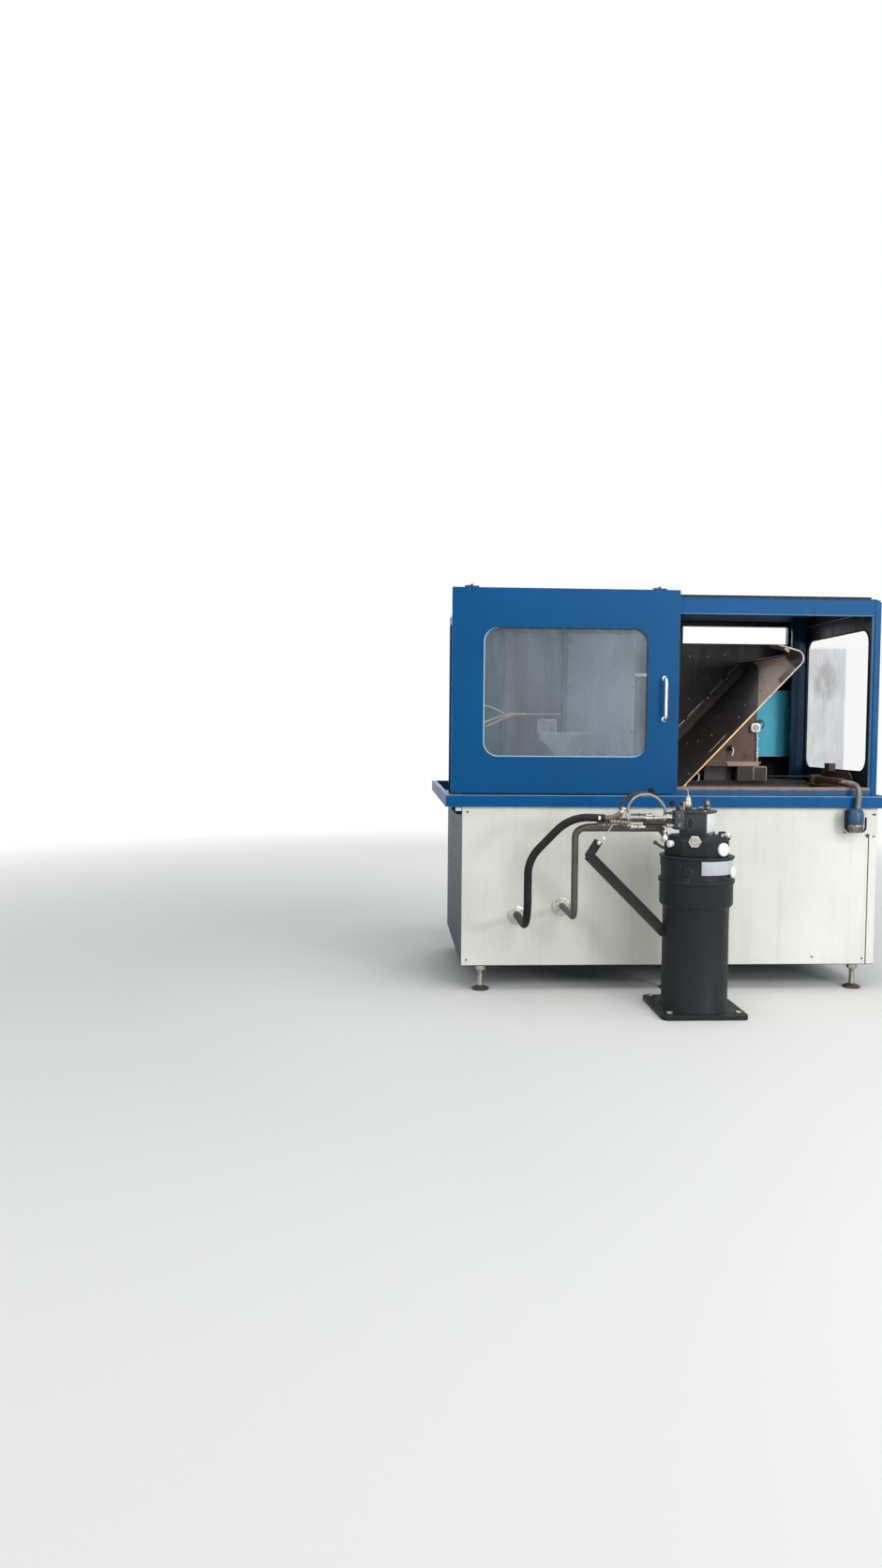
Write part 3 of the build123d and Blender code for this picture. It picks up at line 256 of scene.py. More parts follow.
def enamel(name, colour, dirt, bare, rough=0.36, wear=0.6, dirt_share=0.6, gloss=0.2,
           dirt_low=0.52, dirt_high=0.85, runs=0.5, ripple=0.12, wear_radius=0.0025,
           inside=None, upper=None):
    """Painted sheet: slow shifts of tone, grime, worn edges and a fine peel.

    inside is a darker colour that paints the shade on the faces within the enclosure, and upper a
    rusty colour with the height where it starts."""
    coat = new_finish(name)
    colour = paint(colour)
    deep = (*(part * 0.84 for part in colour[:3]), 1.0)
    body = coat.mixed(coat.spread(coat.noise(1.7), 0.3, 0.7), deep, colour)
    # Painted shade: faces within the enclosure take the darker inside colour.
    if inside:
        body = coat.mixed(coat.use(enclosure_shade_mask), body, paint(inside))
    if upper:
        rust, start = upper
        wave = coat.noise(9.0, 5.0, 0.7)
        edge = coat.plus(coat.axes["Z"], coat.times(wave, 0.022))
        body = coat.mixed(coat.spread(edge, start + 0.009, start + 0.014), body, paint(rust))
    dirty = coat.times(coat.use(grime, Low=dirt_low, High=dirt_high, Runs=runs), dirt_share)
    body = coat.mixed(dirty, body, paint(dirt))
    body = coat.mixed(coat.use(edge_wear, Amount=wear, Radius=wear_radius), body, paint(bare))
    roughness = coat.spread(coat.noise(35.0, 4.0), 0.3, 0.7, rough - 0.06, rough + 0.08)
    coat.shade(body, coat.plus(roughness, coat.times(dirty, 0.25), clamp=True),
               Normal=coat.use(skin, Peel=0.12, Ripple=ripple), Specular_IOR_Level=gloss)


def bare_metal(name, colour, stain, rough=0.3, metallic=1.0, scale=14.0, share=0.5, wear=0.3,
               grain=0.15):
    """Bare or plated metal with stains and rubbed edges."""
    coat = new_finish(name)
    blotch = coat.times(coat.spread(coat.noise(scale, 6.0, 0.65), 0.45, 0.72), share)
    body = coat.mixed(blotch, paint(colour), paint(stain))
    body = coat.mixed(coat.use(edge_wear, Amount=wear, Radius=0.002), body,
                      (0.75, 0.75, 0.73, 1.0))
    roughness = coat.spread(coat.noise(75.0, 4.0), 0.3, 0.7, rough - 0.07, rough + 0.1)
    coat.shade(body, coat.plus(roughness, coat.times(blotch, 0.3), clamp=True),
               Normal=coat.use(skin, Peel=grain, Peel_Scale=300.0, Ripple=0.0, Radius=0.001),
               Metallic=coat.times(coat.calc("SUBTRACT", 1.0, blotch), metallic))


def oily_steel(name, colour, film, light_spot, rough=0.5, spray_share=0.25, drop_scale=60.0):
    """Dark sheet inside the machine: oil film, runs and pale dried drops."""
    coat = new_finish(name)
    light_spot = paint(light_spot)
    oiled = coat.use(grime, Blotch_Scale=4.0, Run_Scale=30.0, Runs=0.6, Low=0.35, High=0.75)
    body = coat.mixed(oiled, paint(colour), paint(film))
    drops = coat.use(dried_spray, Drop_Scale=drop_scale, Share=spray_share)
    body = coat.mixed(coat.times(drops, 0.7), body, light_spot)
    body = coat.mixed(coat.use(edge_wear, Amount=0.25), body, light_spot)
    coat.shade(body, coat.spread(oiled, 0.0, 1.0, rough + 0.12, rough - 0.14),
               Normal=coat.use(skin, Peel=0.25, Peel_Scale=180.0, Ripple=0.2),
               Specular_IOR_Level=0.4)


def moulded(name, colour, dirt, rough=0.4, dirt_share=0.35, peel=0.1, gloss=0.5):
    """Moulded plastic or rubber with dust in it."""
    coat = new_finish(name)
    dust = coat.times(coat.spread(coat.noise(18.0, 5.0, 0.6), 0.45, 0.75), dirt_share)
    coat.shade(coat.mixed(dust, paint(colour), paint(dirt)),
               coat.spread(dust, 0.0, 1.0, rough, rough + 0.4),
               Normal=coat.use(skin, Peel=peel, Peel_Scale=500.0, Ripple=0.0, Radius=0.001),
               Specular_IOR_Level=gloss)


def rubbed_highlight_edge(name, low_colour, high_colour, low, high):
    """Rubbed steel edge with a painted highlight, its tone changing with height, with dark nicks.
    """
    coat = new_finish(name)
    share = coat.spread(coat.plus(coat.axes["Z"], coat.times(coat.noise(8.0), 0.1)), low, high)
    body = coat.mixed(share, paint(low_colour), paint(high_colour))
    nicks = coat.spread(coat.noise(70.0, 4.0, 0.65), 0.56, 0.68)
    coat.shade(coat.mixed(coat.times(nicks, 0.7), body, paint((60, 46, 38))),
               coat.spread(nicks, 0.0, 1.0, 0.32, 0.6), Metallic=0.35,
               Normal=coat.use(skin, Peel=0.2, Peel_Scale=300.0, Ripple=0.0))


def lit_fold(name, light, dark, middle):
    """Folded rim round a window: light at its lower left, in its own shade at the upper right."""
    coat = new_finish(name)
    aside = coat.calc("SUBTRACT", coat.axes["X"], middle[0])
    above = coat.calc("SUBTRACT", coat.axes["Z"], middle[2])
    way = coat.plus(aside, coat.times(above, 1.25))
    wave = coat.times(coat.noise(12.0), 0.05)
    body = coat.mixed(coat.spread(coat.plus(way, wave), -0.04, 0.10), paint(light), paint(dark))
    body = coat.mixed(coat.use(edge_wear, Amount=0.4), body, paint(light))
    coat.shade(body, coat.spread(wave, 0.0, 0.05, 0.34, 0.44),
               Normal=coat.use(skin, Peel=0.12, Ripple=0.1), Specular_IOR_Level=0.2)


def hazy_glass(name, haze, thin, thick, smear):
    """Pane with dried spray on it: haze, runs and drops that hide what is behind."""
    coat = new_finish(name)
    film = coat.use(grime, Blotch_Scale=2.2, Run_Scale=9.0, Runs=0.45, Low=0.35, High=0.7)
    drops = coat.use(dried_spray, Drop_Scale=70.0, Share=0.35)
    smears = coat.spread(coat.noise(7.0, 6.0, 0.72, coat.drawn_down(0.35)), 0.50, 0.72)
    cover = coat.plus(coat.spread(film, 0.0, 1.0, thin, thick), coat.times(smears, smear))
    cover = coat.plus(cover, coat.times(drops, 0.12), clamp=True)
    coat.shade(paint(haze), coat.spread(film, 0.0, 1.0, 0.12, 0.5), Alpha=cover,
               Specular_IOR_Level=0.3)


HAZE_FRONT = at_depth(0.400)
HAZE_TOP = 1.954
HAZE_RISE = 0.081
ARCH_MIDDLE = at_depth(0.688)
ARCH_FOOT = 1.65


def streaked_glass(name, haze, brown):
    """Clear pane with one patch of pale spray, streaked upright and brown in its upper middle."""
    coat = new_finish(name)
    wave = coat.times(coat.noise(3.0), 0.02)
    back = coat.plus(coat.axes["Y"], wave)
    rise = coat.times(coat.calc("SUBTRACT", coat.axes["Y"], HAZE_FRONT), HAZE_RISE)
    high = coat.calc("SUBTRACT", coat.plus(coat.axes["Z"], wave), rise)
    patch = coat.times(coat.spread(back, HAZE_FRONT, HAZE_FRONT + 0.022),
                       coat.spread(high, HAZE_TOP, HAZE_TOP - 0.016))
    streaks = coat.spread(coat.noise(16.0, 4.0, 0.6, coat.drawn_down(0.14)), 0.30, 0.72)
    fine = coat.spread(coat.noise(6.0, 5.0, 0.6), 0.34, 0.7)
    thick = coat.plus(coat.plus(coat.times(streaks, 0.07), coat.times(fine, 0.09)), 0.10)
    away = coat.vector("SUBTRACT", coat.place, (0.0, ARCH_MIDDLE, ARCH_FOOT))
    away = coat.vector("MULTIPLY", away, (0.0, 1.0, 0.7))
    arch = coat.spread(coat.vector("LENGTH", away, output="Value"), 0.20, 0.14)
    foot = coat.plus(high, coat.times(fine, 0.05))
    arch = coat.times(arch, coat.spread(foot, ARCH_FOOT, ARCH_FOOT + 0.09))
    stained = coat.times(arch, coat.spread(fine, 0.0, 1.0, 0.45, 1.0))
    cover = coat.times(patch, coat.plus(thick, coat.times(stained, 0.18)))
    drops = coat.times(coat.use(dried_spray, Drop_Scale=60.0, Share=0.3), 0.05)
    coat.shade(coat.mixed(stained, paint(haze), paint(brown)), 0.3,
               Alpha=coat.plus(coat.plus(cover, 0.04), drops, clamp=True),
               Specular_IOR_Level=0.5)


BLUE = (6, 80, 132)
BARE_BLUE = (150, 175, 200)

# Enamels: colour, dirt, bare edge
# The inside colours of these enamels paint the shade on faces within the enclosure.
enamel("blue_enamel", BLUE, (12, 44, 76), BARE_BLUE, inside=(14, 46, 68), gloss=0.1)
enamel("panel_enamel", BLUE, (54, 44, 42), BARE_BLUE, inside=(30, 40, 52), dirt_low=0.44,
       dirt_high=0.72)
enamel("inner_enamel", BLUE, (24, 30, 36), BARE_BLUE, inside=(22, 32, 44))
enamel("door_enamel", (6, 78, 128), (6, 58, 100), BARE_BLUE, wear=0.35, ripple=0.25,
       dirt_share=0.4, gloss=0.1)
enamel("rim_highlight_blue", (132, 168, 198), (70, 110, 146), (200, 214, 226), dirt_share=0.4)
enamel("rim_enamel", (6, 82, 138), (18, 56, 88), (176, 198, 214), wear=0.9, wear_radius=0.004,
       gloss=0.1)
enamel("sill_enamel", (14, 80, 126), (46, 50, 58), (176, 148, 124), wear=0.9, dirt_share=0.65,
       wear_radius=0.004, upper=((136, 114, 99), 1.117))
enamel("side_blue_grey", (32, 48, 62), (24, 28, 32), (110, 120, 128), 0.45, dirt_share=0.7)
enamel("cream_enamel", (224, 225, 216), (170, 166, 154), (150, 146, 138), 0.42, 0.35, 0.4,
       dirt_low=0.5, dirt_high=0.9, runs=0.7)
enamel("plate_enamel", (216, 214, 206), (150, 144, 132), (220, 220, 214), 0.42, 0.6, 0.55)
enamel("duct_enamel", (58, 104, 112), (44, 62, 66), (120, 140, 144), 0.5)
enamel("teal_enamel", (92, 224, 255), (58, 176, 214), (206, 232, 236), wear=0.5,
       dirt_share=0.35)
enamel("teal_box_highlight", (170, 226, 236), (90, 170, 186), (230, 240, 242), wear=0.5, dirt_share=0.4)
enamel("roof_enamel", (60, 88, 120), (60, 70, 84), BARE_BLUE, 0.6, 0.4, gloss=0.03)
enamel("black_rail", (14, 14, 16), (30, 28, 27), (70, 74, 80), 0.5, 0.3, gloss=0.1)
enamel("column_primer", (96, 74, 67), (64, 50, 46), (190, 168, 154), 0.5, 0.9)
# Pale plate colour that paints a pool of light on the chute's floor.
enamel("lit_patch_primer", (255, 224, 200), (160, 134, 118), (230, 216, 200), 0.5, 0.5, 0.5)
enamel("shelf_primer", (88, 68, 58), (56, 44, 38), (176, 158, 142), 0.5, 0.8)
enamel("pale_primer", (170, 148, 136), (104, 84, 76), (216, 204, 192), 0.45, 0.9, 0.5)
enamel("box_iron", (52, 47, 44), (40, 36, 34), (176, 160, 146), 0.45, 0.9)
enamel("clip_steel", (74, 66, 62), (40, 36, 34), (190, 180, 168), 0.45, 0.9, 0.5)
enamel("unit_enamel", (42, 45, 46), (28, 28, 28), (132, 136, 138), 0.4, 0.8, gloss=0.1)
enamel("band_enamel", (184, 190, 195), (110, 114, 116), (226, 229, 231), 0.3, 0.9, 0.4)
enamel("block_enamel", (62, 68, 71), (42, 44, 44), (150, 156, 160), 0.4, 0.7, 0.5)
enamel("arm_black", (36, 36, 37), (24, 24, 24), (136, 136, 136), 0.4, 0.9, 0.5)
enamel("brown_plate", (120, 108, 102), (76, 66, 60), (180, 170, 160), 0.45, dirt_share=0.5)
enamel("grey_plate", (150, 162, 172), (96, 100, 104), (200, 204, 206), 0.45)
enamel("lip_highlight_blue", (70, 126, 164), (30, 70, 104), (150, 180, 204), dirt_share=0.4, gloss=0.1)
enamel("lip_grey", (74, 98, 118), (40, 56, 70), (140, 160, 174), wear=0.5, dirt_share=0.5,
       gloss=0.1)
lit_fold("fold_blue", (150, 184, 208), (10, 26, 40), sum(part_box("door_glass"), Vector()) / 2)

# Bare and plated metals: colour, stain
bare_metal("machined_iron", (170, 176, 180), (104, 104, 102), 0.42, 0.2, share=0.6, wear=0.9)
bare_metal("tower_iron", (70, 66, 64), (46, 42, 40), 0.42, 0.4, share=0.7)
bare_metal("support_highlight_iron", (206, 210, 212), (120, 120, 118), 0.3, 0.3, share=0.6)
bare_metal("plain_steel", (176, 174, 168), (110, 92, 76), 0.32)
bare_metal("cap_steel", (190, 190, 186), (120, 112, 100), 0.28, share=0.35)
bare_metal("chrome", (214, 216, 218), (150, 150, 148), 0.12, share=0.15, wear=0.0, grain=0.02)
bare_metal("copper", (246, 226, 190), (150, 120, 90), 0.35, 0.2, share=0.4)
bare_metal("brass", (178, 166, 142), (84, 70, 56))
bare_metal("brown_pipe", (84, 80, 76), (58, 46, 38), 0.45, 0.5, share=0.6)
bare_metal("conduit_grey", (128, 124, 120), (78, 70, 64), 0.34, 0.7)
bare_metal("dark_fitting", (62, 56, 50), (34, 30, 28), 0.4, 0.7, share=0.6)
bare_metal("braid_steel", (150, 146, 140), (70, 62, 56), 0.3, 0.8, share=0.3)
bare_metal("knurl_steel", (132, 126, 120), (40, 35, 32), 0.16, 1.0, 30.0, 0.8, 0.9)
bare_metal("brass_dark", (122, 112, 102), (38, 32, 28), 0.2, 0.9, 60.0, 0.85, 0.9)
bare_metal("pale_brass", (190, 182, 170), (70, 58, 50), 0.22, 0.7, 60.0, 0.8, 0.9)
# Pale steel of the rivets and weld line, also the painted highlight on the upstand's fold.
bare_metal("rivet_and_highlight_steel", (222, 214, 204), (84, 76, 70), 0.4, 0.4, 24.0, 0.85, 0.6)
# Hem colour: rubbed steel, its bright orange low down a painted highlight.
rubbed_highlight_edge("hem_highlight_steel", (255, 208, 140), (190, 178, 166), 1.56, 1.76)

# Oiled sheets: colour, film, dried drops
oily_steel("dark_steel", (62, 56, 55), (34, 31, 31), (104, 96, 90))
oily_steel("chute_steel", (98, 90, 86), (66, 60, 57), (138, 128, 118), 0.5, 0.3, 45.0)
oily_steel("tray_steel", (52, 48, 46), (70, 58, 48), (110, 100, 88), 0.4)

# Rubber, plastic and glass: colour, dust
moulded("black_rubber", (18, 18, 19), (60, 58, 55), 0.5, 0.15, 0.3, 0.2)
moulded("plug_blue", (12, 66, 104), (60, 76, 88), 0.34)
moulded("switch_white", (244, 240, 236), (160, 148, 136), 0.35, 0.2)
moulded("white_cap", (228, 230, 230), (170, 168, 160), 0.3, 0.3)
moulded("slot_black", (14, 14, 15), (34, 32, 30), 0.6)
moulded("ring_grey", (176, 172, 166), (120, 112, 102), 0.35)
moulded("teal_dark", (28, 84, 96), (40, 40, 40))
hazy_glass("door_pane", (140, 152, 164), 0.14, 0.32, 0.22)
hazy_glass("inner_pane", (150, 160, 170), 0.02, 0.10, 0.05)
streaked_glass("side_pane", (138, 184, 222), (150, 130, 120))

# The finish of each CAD node
for finish_name, dressed in (
        ("side_blue_grey", "base_frame base_shell tray_gussets"),
        ("cream_enamel", "base_front_panels"),
        ("plate_enamel", "socket_plate"),
        ("plain_steel", "levelling_feet pipe_flanges unit_fittings loop_pipe"),
        ("plug_blue", "plug_connector"),
        ("conduit_grey", "flexible_conduit"),
        ("tray_steel", "tray_floor"),
        ("rim_enamel", "tray_front_rim tray_rear_rim tray_left_rim tray_right_rim"),
        ("blue_enamel", "front_left_post mid_left_post rear_left_post front_right_post"
                        " mid_right_post rear_right_post front_top_rail fixed_front_panel"
                        " door_hangers"),
        ("inner_enamel", "left_top_rail right_top_rail rear_top_rail"),
        ("panel_enamel", "left_side_panel right_side_panel"),
        ("sill_enamel", "front_sill"),
        ("roof_enamel", "roof_sheet"),
        ("black_rail", "door_track"),
        ("dark_steel", "rear_wall slide_bed"),
        ("door_enamel", "door_leaf"),
        ("door_pane", "door_glass"),
        ("inner_pane", "fixed_front_glass"),
        ("side_pane", "left_side_glass right_side_glass"),
        ("chrome", "door_handle"),
        ("chute_steel", "splash_chute"),
        ("lit_patch_primer", "chute_liner"),
        ("column_primer", "slide_column"),
        ("box_iron", "fixture_box"),
        ("tower_iron", "guide_tower"),
        ("machined_iron", "work_pedestal"),
        ("switch_white", "limit_switch"),
        ("teal_enamel", "transformer_box"),
        ("duct_enamel", "tower_duct"),
        ("copper", "inductor_leads"),
        ("shelf_primer", "conduit_shelf"),
        ("unit_enamel", "unit_body unit_valve_block unit_arm"),
        ("brass", "pipe_manifold"),
        ("black_rubber", "supply_hose"),
        ("brown_pipe", "return_pipe")):
    for node_name in dressed.split():
        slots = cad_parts[node_name].data.materials
        slots.clear()
        slots.append(finishes[finish_name])


# Modelling

UP = Vector((0, 0, 1))
FORWARD = Vector((0, -1, 0))
BACK = Vector((0, 1, 0))
RIGHT = Vector((1, 0, 0))
CORNERS = ((-1, -1), (1, -1), (-1, 1), (1, 1))
DOOR_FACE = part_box("door_leaf")[0].y
PANE_LAP = 0.018
UNIT = Vector((0.015, at_depth(-0.400), 0.0))


def mm(x, y, z):
    """Shift given in millimetres."""
    return Vector((x / 1000, y / 1000, z / 1000))


def unit(x, y, z):
    """Place in millimetres from the foot of the hydraulic unit."""
    return UNIT + mm(x, y, z)


def around(degrees):
    """Level direction, turned from the right towards the rear."""
    return Vector((math.cos(math.radians(degrees)), math.sin(math.radians(degrees)), 0.0))


def clear():
    """Object mode with nothing selected."""
    if bpy.context.object and bpy.context.object.mode == "EDIT":
        bpy.ops.object.mode_set(mode="OBJECT")
    bpy.ops.object.select_all(action="DESELECT")


def edit_all(kind=None):
    """Edit mode, on one kind of element if it is given, with the whole mesh selected."""
    bpy.ops.object.mode_set(mode="EDIT")
    if kind:
        bpy.ops.mesh.select_mode(type=kind)
    bpy.ops.mesh.select_all(action="SELECT")


def edit_where(kind, chosen):
    """Edit mode, with only the edges or faces selected that pass a test."""
    bpy.ops.object.mode_set(mode="EDIT")
    bpy.ops.mesh.select_mode(type=kind)
    bpy.ops.mesh.select_all(action="DESELECT")
    bpy.ops.object.mode_set(mode="OBJECT")
    mesh = bpy.context.object.data
    for part in mesh.edges if kind == "EDGE" else mesh.polygons:
        part.select = chosen(part)
    bpy.ops.object.mode_set(mode="EDIT")


def extrude(shift):
    """Extrude what is selected."""
    bpy.ops.mesh.extrude_region_move(TRANSFORM_OT_translate={"value": shift})


def close_up(merge=False):
    """Faces turned outwards, and back to object mode."""
    bpy.ops.mesh.select_all(action="SELECT")
    if merge:
        bpy.ops.mesh.remove_doubles(threshold=0.00001)
    bpy.ops.mesh.normals_make_consistent(inside=False)
    bpy.ops.object.mode_set(mode="OBJECT")


def settle(location=False, rotation=False):
    """Apply the new piece's scale, and its place and turn if asked."""
    bpy.ops.object.transform_apply(location=location, rotation=rotation, scale=True)


def modify(kind, **settings):
    """Add a modifier, set it and apply it."""
    bpy.ops.object.modifier_add(type=kind)
    modifier = bpy.context.object.modifiers[-1]
    for key, value in settings.items():
        setattr(modifier, key, value)
    bpy.ops.object.modifier_apply(modifier=modifier.name)


def finish(material, rounding=0.0, name="part", body="root", steps=2, angle=35.0):
    """Apply the new piece's place, round its edges, name it and hang it on a body."""
    piece = bpy.context.object
    piece.name = name
    settle(True, True)
    if rounding > 0:
        modify("BEVEL", width=rounding, segments=steps, limit_method="ANGLE",
               angle_limit=math.radians(angle))
    bpy.ops.object.shade_smooth_by_angle(angle=math.radians(angle))
    piece.data.materials.append(finishes[material])
    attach(piece, body)
    return piece


def join(name, pieces):
    """Several pieces of one body made one."""
    clear()
    for piece in pieces:
        piece.select_set(True)
    bpy.context.view_layer.objects.active = pieces[0]
    bpy.ops.object.join()
    pieces[0].name = name
    return pieces[0]


def copy_to(piece, shift):
    """Copy of a finished piece with its own mesh, moved by a shift."""
    clear()
    piece.select_set(True)
    bpy.context.view_layer.objects.active = piece
    bpy.ops.object.duplicate()
    bpy.ops.transform.translate(value=shift)
    settle(True, True)
    return bpy.context.object


def round_corners(radius, along, steps=6):
    """Round the edges of the block just started that run along one axis of its own."""
    settle()
    mesh = bpy.context.object.data

    def runs_along(edge):
        first, second = (mesh.vertices[index].co for index in edge.vertices)
        return abs((second - first).normalized()[along]) > 0.99
    edit_where("EDGE", runs_along)
    bpy.ops.mesh.bevel(offset=radius, segments=steps, affect="EDGES")
    bpy.ops.object.mode_set(mode="OBJECT")


def block(middle, size, material, rounding=0.0, corners=None, turn=(0, 0, 0), **more):
    """Block round its middle, with corners rounded by (radius, axis, steps)."""
    clear()
    bpy.ops.mesh.primitive_cube_add(size=1.0, location=middle, rotation=turn, scale=size)
    if corners:
        round_corners(*corners)
    return finish(material, rounding, **more)


def bar(low, high, material, rounding=0.0, corners=None, turn=0.0, **more):
    """Straight bar between two corners, turned about its upright middle."""
    low, high = Vector(low), Vector(high)
    return block((low + high) / 2, high - low, material, rounding, corners, (0, 0, turn), **more)


def turned(at, heading, profile, material, rounding=0.0, sides=32, turn=0.0, size=1.0,
           length=1.0, **more):
    """Round piece drawn up from a disc, ring by ring.

    The profile gives radius and height in turns, in millimetres, or in thousandths of a size
    and a length in metres."""
    clear()
    axis = Vector(heading).normalized()
    stand = axis.to_track_quat("Z", "Y").to_matrix() @ Matrix.Rotation(turn, 3, "Z")
    start = Vector(at)
    radii = [radius * size / 1000 for radius in profile[::2]]
    heights = [height * length / 1000 for height in profile[1::2]]
    bpy.ops.mesh.primitive_circle_add(vertices=sides, radius=radii[0], fill_type="NGON",
                                      location=start + axis * heights[0],
                                      rotation=stand.to_euler())
    edit_all()
    for radius, next_radius, height, next_height in zip(radii, radii[1:], heights, heights[1:]):
        extrude(axis * (next_height - height))
        if next_radius != radius:
            bpy.ops.transform.resize(value=(next_radius / radius,) * 3,
                                     center_override=start + axis * next_height)
    close_up()
    return finish(material, rounding, **more)


def rod(at, heading, radius, length, material, rounding=0.0, sides=16, turn=0.0, **more):
    """Plain rod."""
    return turned(at, heading, (1000, 0, 1000, 1000), material, rounding, sides, turn, radius,
                  length, **more)


def hex_nut(at, heading, radius, height, material, **more):
    """Nut or bolt head with a chamfered top."""
    return turned(at, heading, (1000, 0, 1000, 850, 860, 1000), material, radius * 0.06, 6,
                  size=radius, length=height, **more)


def thread(core, crest, low, turns, pitch, rise=0.4, fall=0.95):
    """Ring profile of a coarse thread."""
    rings = [core, low]
    for turn in range(turns):
        rings += [crest, low + pitch * (turn + rise), core, low + pitch * (turn + fall)]
    return rings


def pipe(points, bends, radius, material, sides=16, step=8.0, **more):
    """Round pipe drawn along straight runs from a disc, and spun round each bend."""
    clear()
    points = [Vector(point) for point in points]
    here = points[0]
    heading = (points[1] - here).normalized()
    bpy.ops.mesh.primitive_circle_add(vertices=sides, radius=radius, fill_type="NGON",
                                      location=here,
                                      rotation=heading.to_track_quat("Z", "Y").to_euler())
    edit_all()
    for before, corner, after, bend in zip(points, points[1:], points[2:], bends):
        arrive = (corner - before).normalized()
        leave = (after - corner).normalized()
        turn = arrive.angle(leave)
        reach = bend * math.tan(turn / 2)
        start = corner - arrive * reach
        extrude(start - here)
        axis = arrive.cross(leave).normalized()
        bpy.ops.mesh.spin(steps=max(3, round(math.degrees(turn) / step)), angle=-turn,
                          center=start + axis.cross(arrive) * bend, axis=axis)
        here = corner + leave * reach
    extrude(points[-1] - here)
    close_up(merge=True)
    return finish(material, **more)


def seal_ring(middle, width, height, radius, band, thick, facing, material, rounding=0.0,
              **more):
    """Flat ring with rounded corners, standing upright and facing one way."""
    clear()
    bpy.ops.mesh.primitive_plane_add(size=1.0, location=middle,
                                     rotation=facing.to_track_quat("Z", "Y").to_euler())
    bpy.context.object.scale = (width, height, 1.0)
    settle()
    edit_all("VERT")
    bpy.ops.mesh.bevel(offset=radius, segments=10, affect="VERTICES")
    edit_all("FACE")
    bpy.ops.mesh.inset(thickness=band, depth=0.0)
    bpy.ops.mesh.delete(type="FACE")
    bpy.ops.mesh.select_all(action="SELECT")
    extrude(facing * thick)
    close_up()
    return finish(material, rounding, **more)


def ribbed_along(name, route, radius, rib, pitch, material, sides=18):
    """Ribbed line: one rib repeated along a smooth curve through the route."""
    clear()
    data = bpy.data.curves.new(name + "_route", "CURVE")
    data.dimensions = "3D"
    spline = data.splines.new("NURBS")
    spline.points.add(len(route) - 1)
    for point, place in zip(spline.points, route):
        point.co = (*place, 1.0)
    spline.order_u = 3
    spline.use_endpoint_u = True
    spline.resolution_u = 24
    guide = bpy.data.objects.new(name + "_route", data)
    scene.collection.objects.link(guide)
    bpy.ops.mesh.primitive_circle_add(vertices=sides, radius=radius,
                                      rotation=RIGHT.to_track_quat("Z", "Y").to_euler())
    piece = bpy.context.object
    bpy.ops.object.transform_apply(location=False, rotation=True, scale=False)
    edit_all()
    size = radius
    for share, wide in ((0.2, radius), (0.15, radius + rib), (0.35, radius + rib),
                        (0.15, radius), (0.15, radius)):
        extrude((pitch * share, 0, 0))
        if wide != size:
            bpy.ops.transform.resize(value=(1.0, wide / size, wide / size))
            size = wide
    close_up()
    modify("ARRAY", fit_type="FIT_CURVE", curve=guide, use_merge_vertices=True,
           merge_threshold=0.0001)
    modify("CURVE", object=guide)
    bpy.data.objects.remove(guide)
    bpy.context.view_layer.objects.active = piece
    return finish(material, name=name, angle=60.0)


# Door: handle, window fold, hangers and small fasteners


def make_door_handle():
    """Chrome bow handle with its two round feet."""
    low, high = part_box("door_handle")
    radius = (high.x - low.x) / 2
    x, out = (low.x + high.x) / 2, low.y + radius
    ends = (low.z + radius, high.z - radius)
    route = [(x, DOOR_FACE, ends[0]), (x, out, ends[0]), (x, out, ends[1]),
             (x, DOOR_FACE, ends[1])]
    bow = join("bow_handle", [
        pipe(route, [0.02, 0.02], radius, "chrome", 20, body="door"),
        *(turned((x, DOOR_FACE, z), FORWARD, (1700, 0, 1700, 3, 1250, 6), "chrome", 0.0006, 24,
                 size=radius, body="door") for z in ends)])
    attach(bow, "door")
    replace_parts(bow, "door_handle")


def make_door_fold():
    """Folded rim round the window's edge on the door's face."""
    low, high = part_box("door_glass")
    size = high - low
    middle = Vector(((low.x + high.x) / 2, DOOR_FACE, (low.z + high.z) / 2))
    seal_ring(middle, size.x - 2 * PANE_LAP + 0.003, size.z - 2 * PANE_LAP + 0.003, 0.082,
              0.0065, 0.002, FORWARD, "fold_blue", 0.0006, name="door_window_seal", body="door")


def make_hangers():
    """Hanger plates with grooved wheels, axles, nuts, the stud on top and a black painted shadow.
    """
    low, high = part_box("door_hangers")
    track_low, track_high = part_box("door_track")
    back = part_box("door_leaf")[1].y
    top, width, groove = high.z - 0.012, 0.08, 0.010
    wheel = Vector((0, (track_low.y + track_high.y) / 2 - groove, track_high.z + 0.0185))
    rim = (12, 0, 21.5, 0, 21.5, 3.2, 18.2, 3.6, 18.2, 16.4, 21.5, 16.8, 21.5, 20, 12, 20)
    hangers = []
    for number, left in enumerate((low.x, high.x - width)):
        middle = left + width / 2
        hangers.append(join(f"hanger_{number + 1}", [
            bar((left, back, low.z), (left + width, back + 0.005, top), "blue_enamel", 0.0008,
                (0.006, 1), body="door"),
            turned((middle, wheel.y, wheel.z), BACK, rim, "plain_steel", 0.0005, 40,
                   body="door"),
            rod((middle, back + 0.004, wheel.z), BACK, 0.005, high.y - back - 0.008,
                "plain_steel", 0.0005, body="door"),
            hex_nut((middle, back + 0.005, wheel.z), BACK, 0.009, 0.005, "plain_steel",
                    body="door"),
            turned((middle, back + 0.0035, top - 0.006), UP, (4.5, 0, 4.5, 11, 3, 18),
                   "black_rubber", 0.0006, 16, body="door"),
            # Painted shadow: black block over the upper left of the plate.
            bar((left + 0.001, back + 0.001, top - 0.008),
                (middle - 0.005, back + 0.0055, top + 0.0018), "black_rubber", 0.0008,
                body="door")]))
    for hanger in hangers:
        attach(hanger, "door")
    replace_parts(hangers[0], "door_hangers")


# Plug and conduit


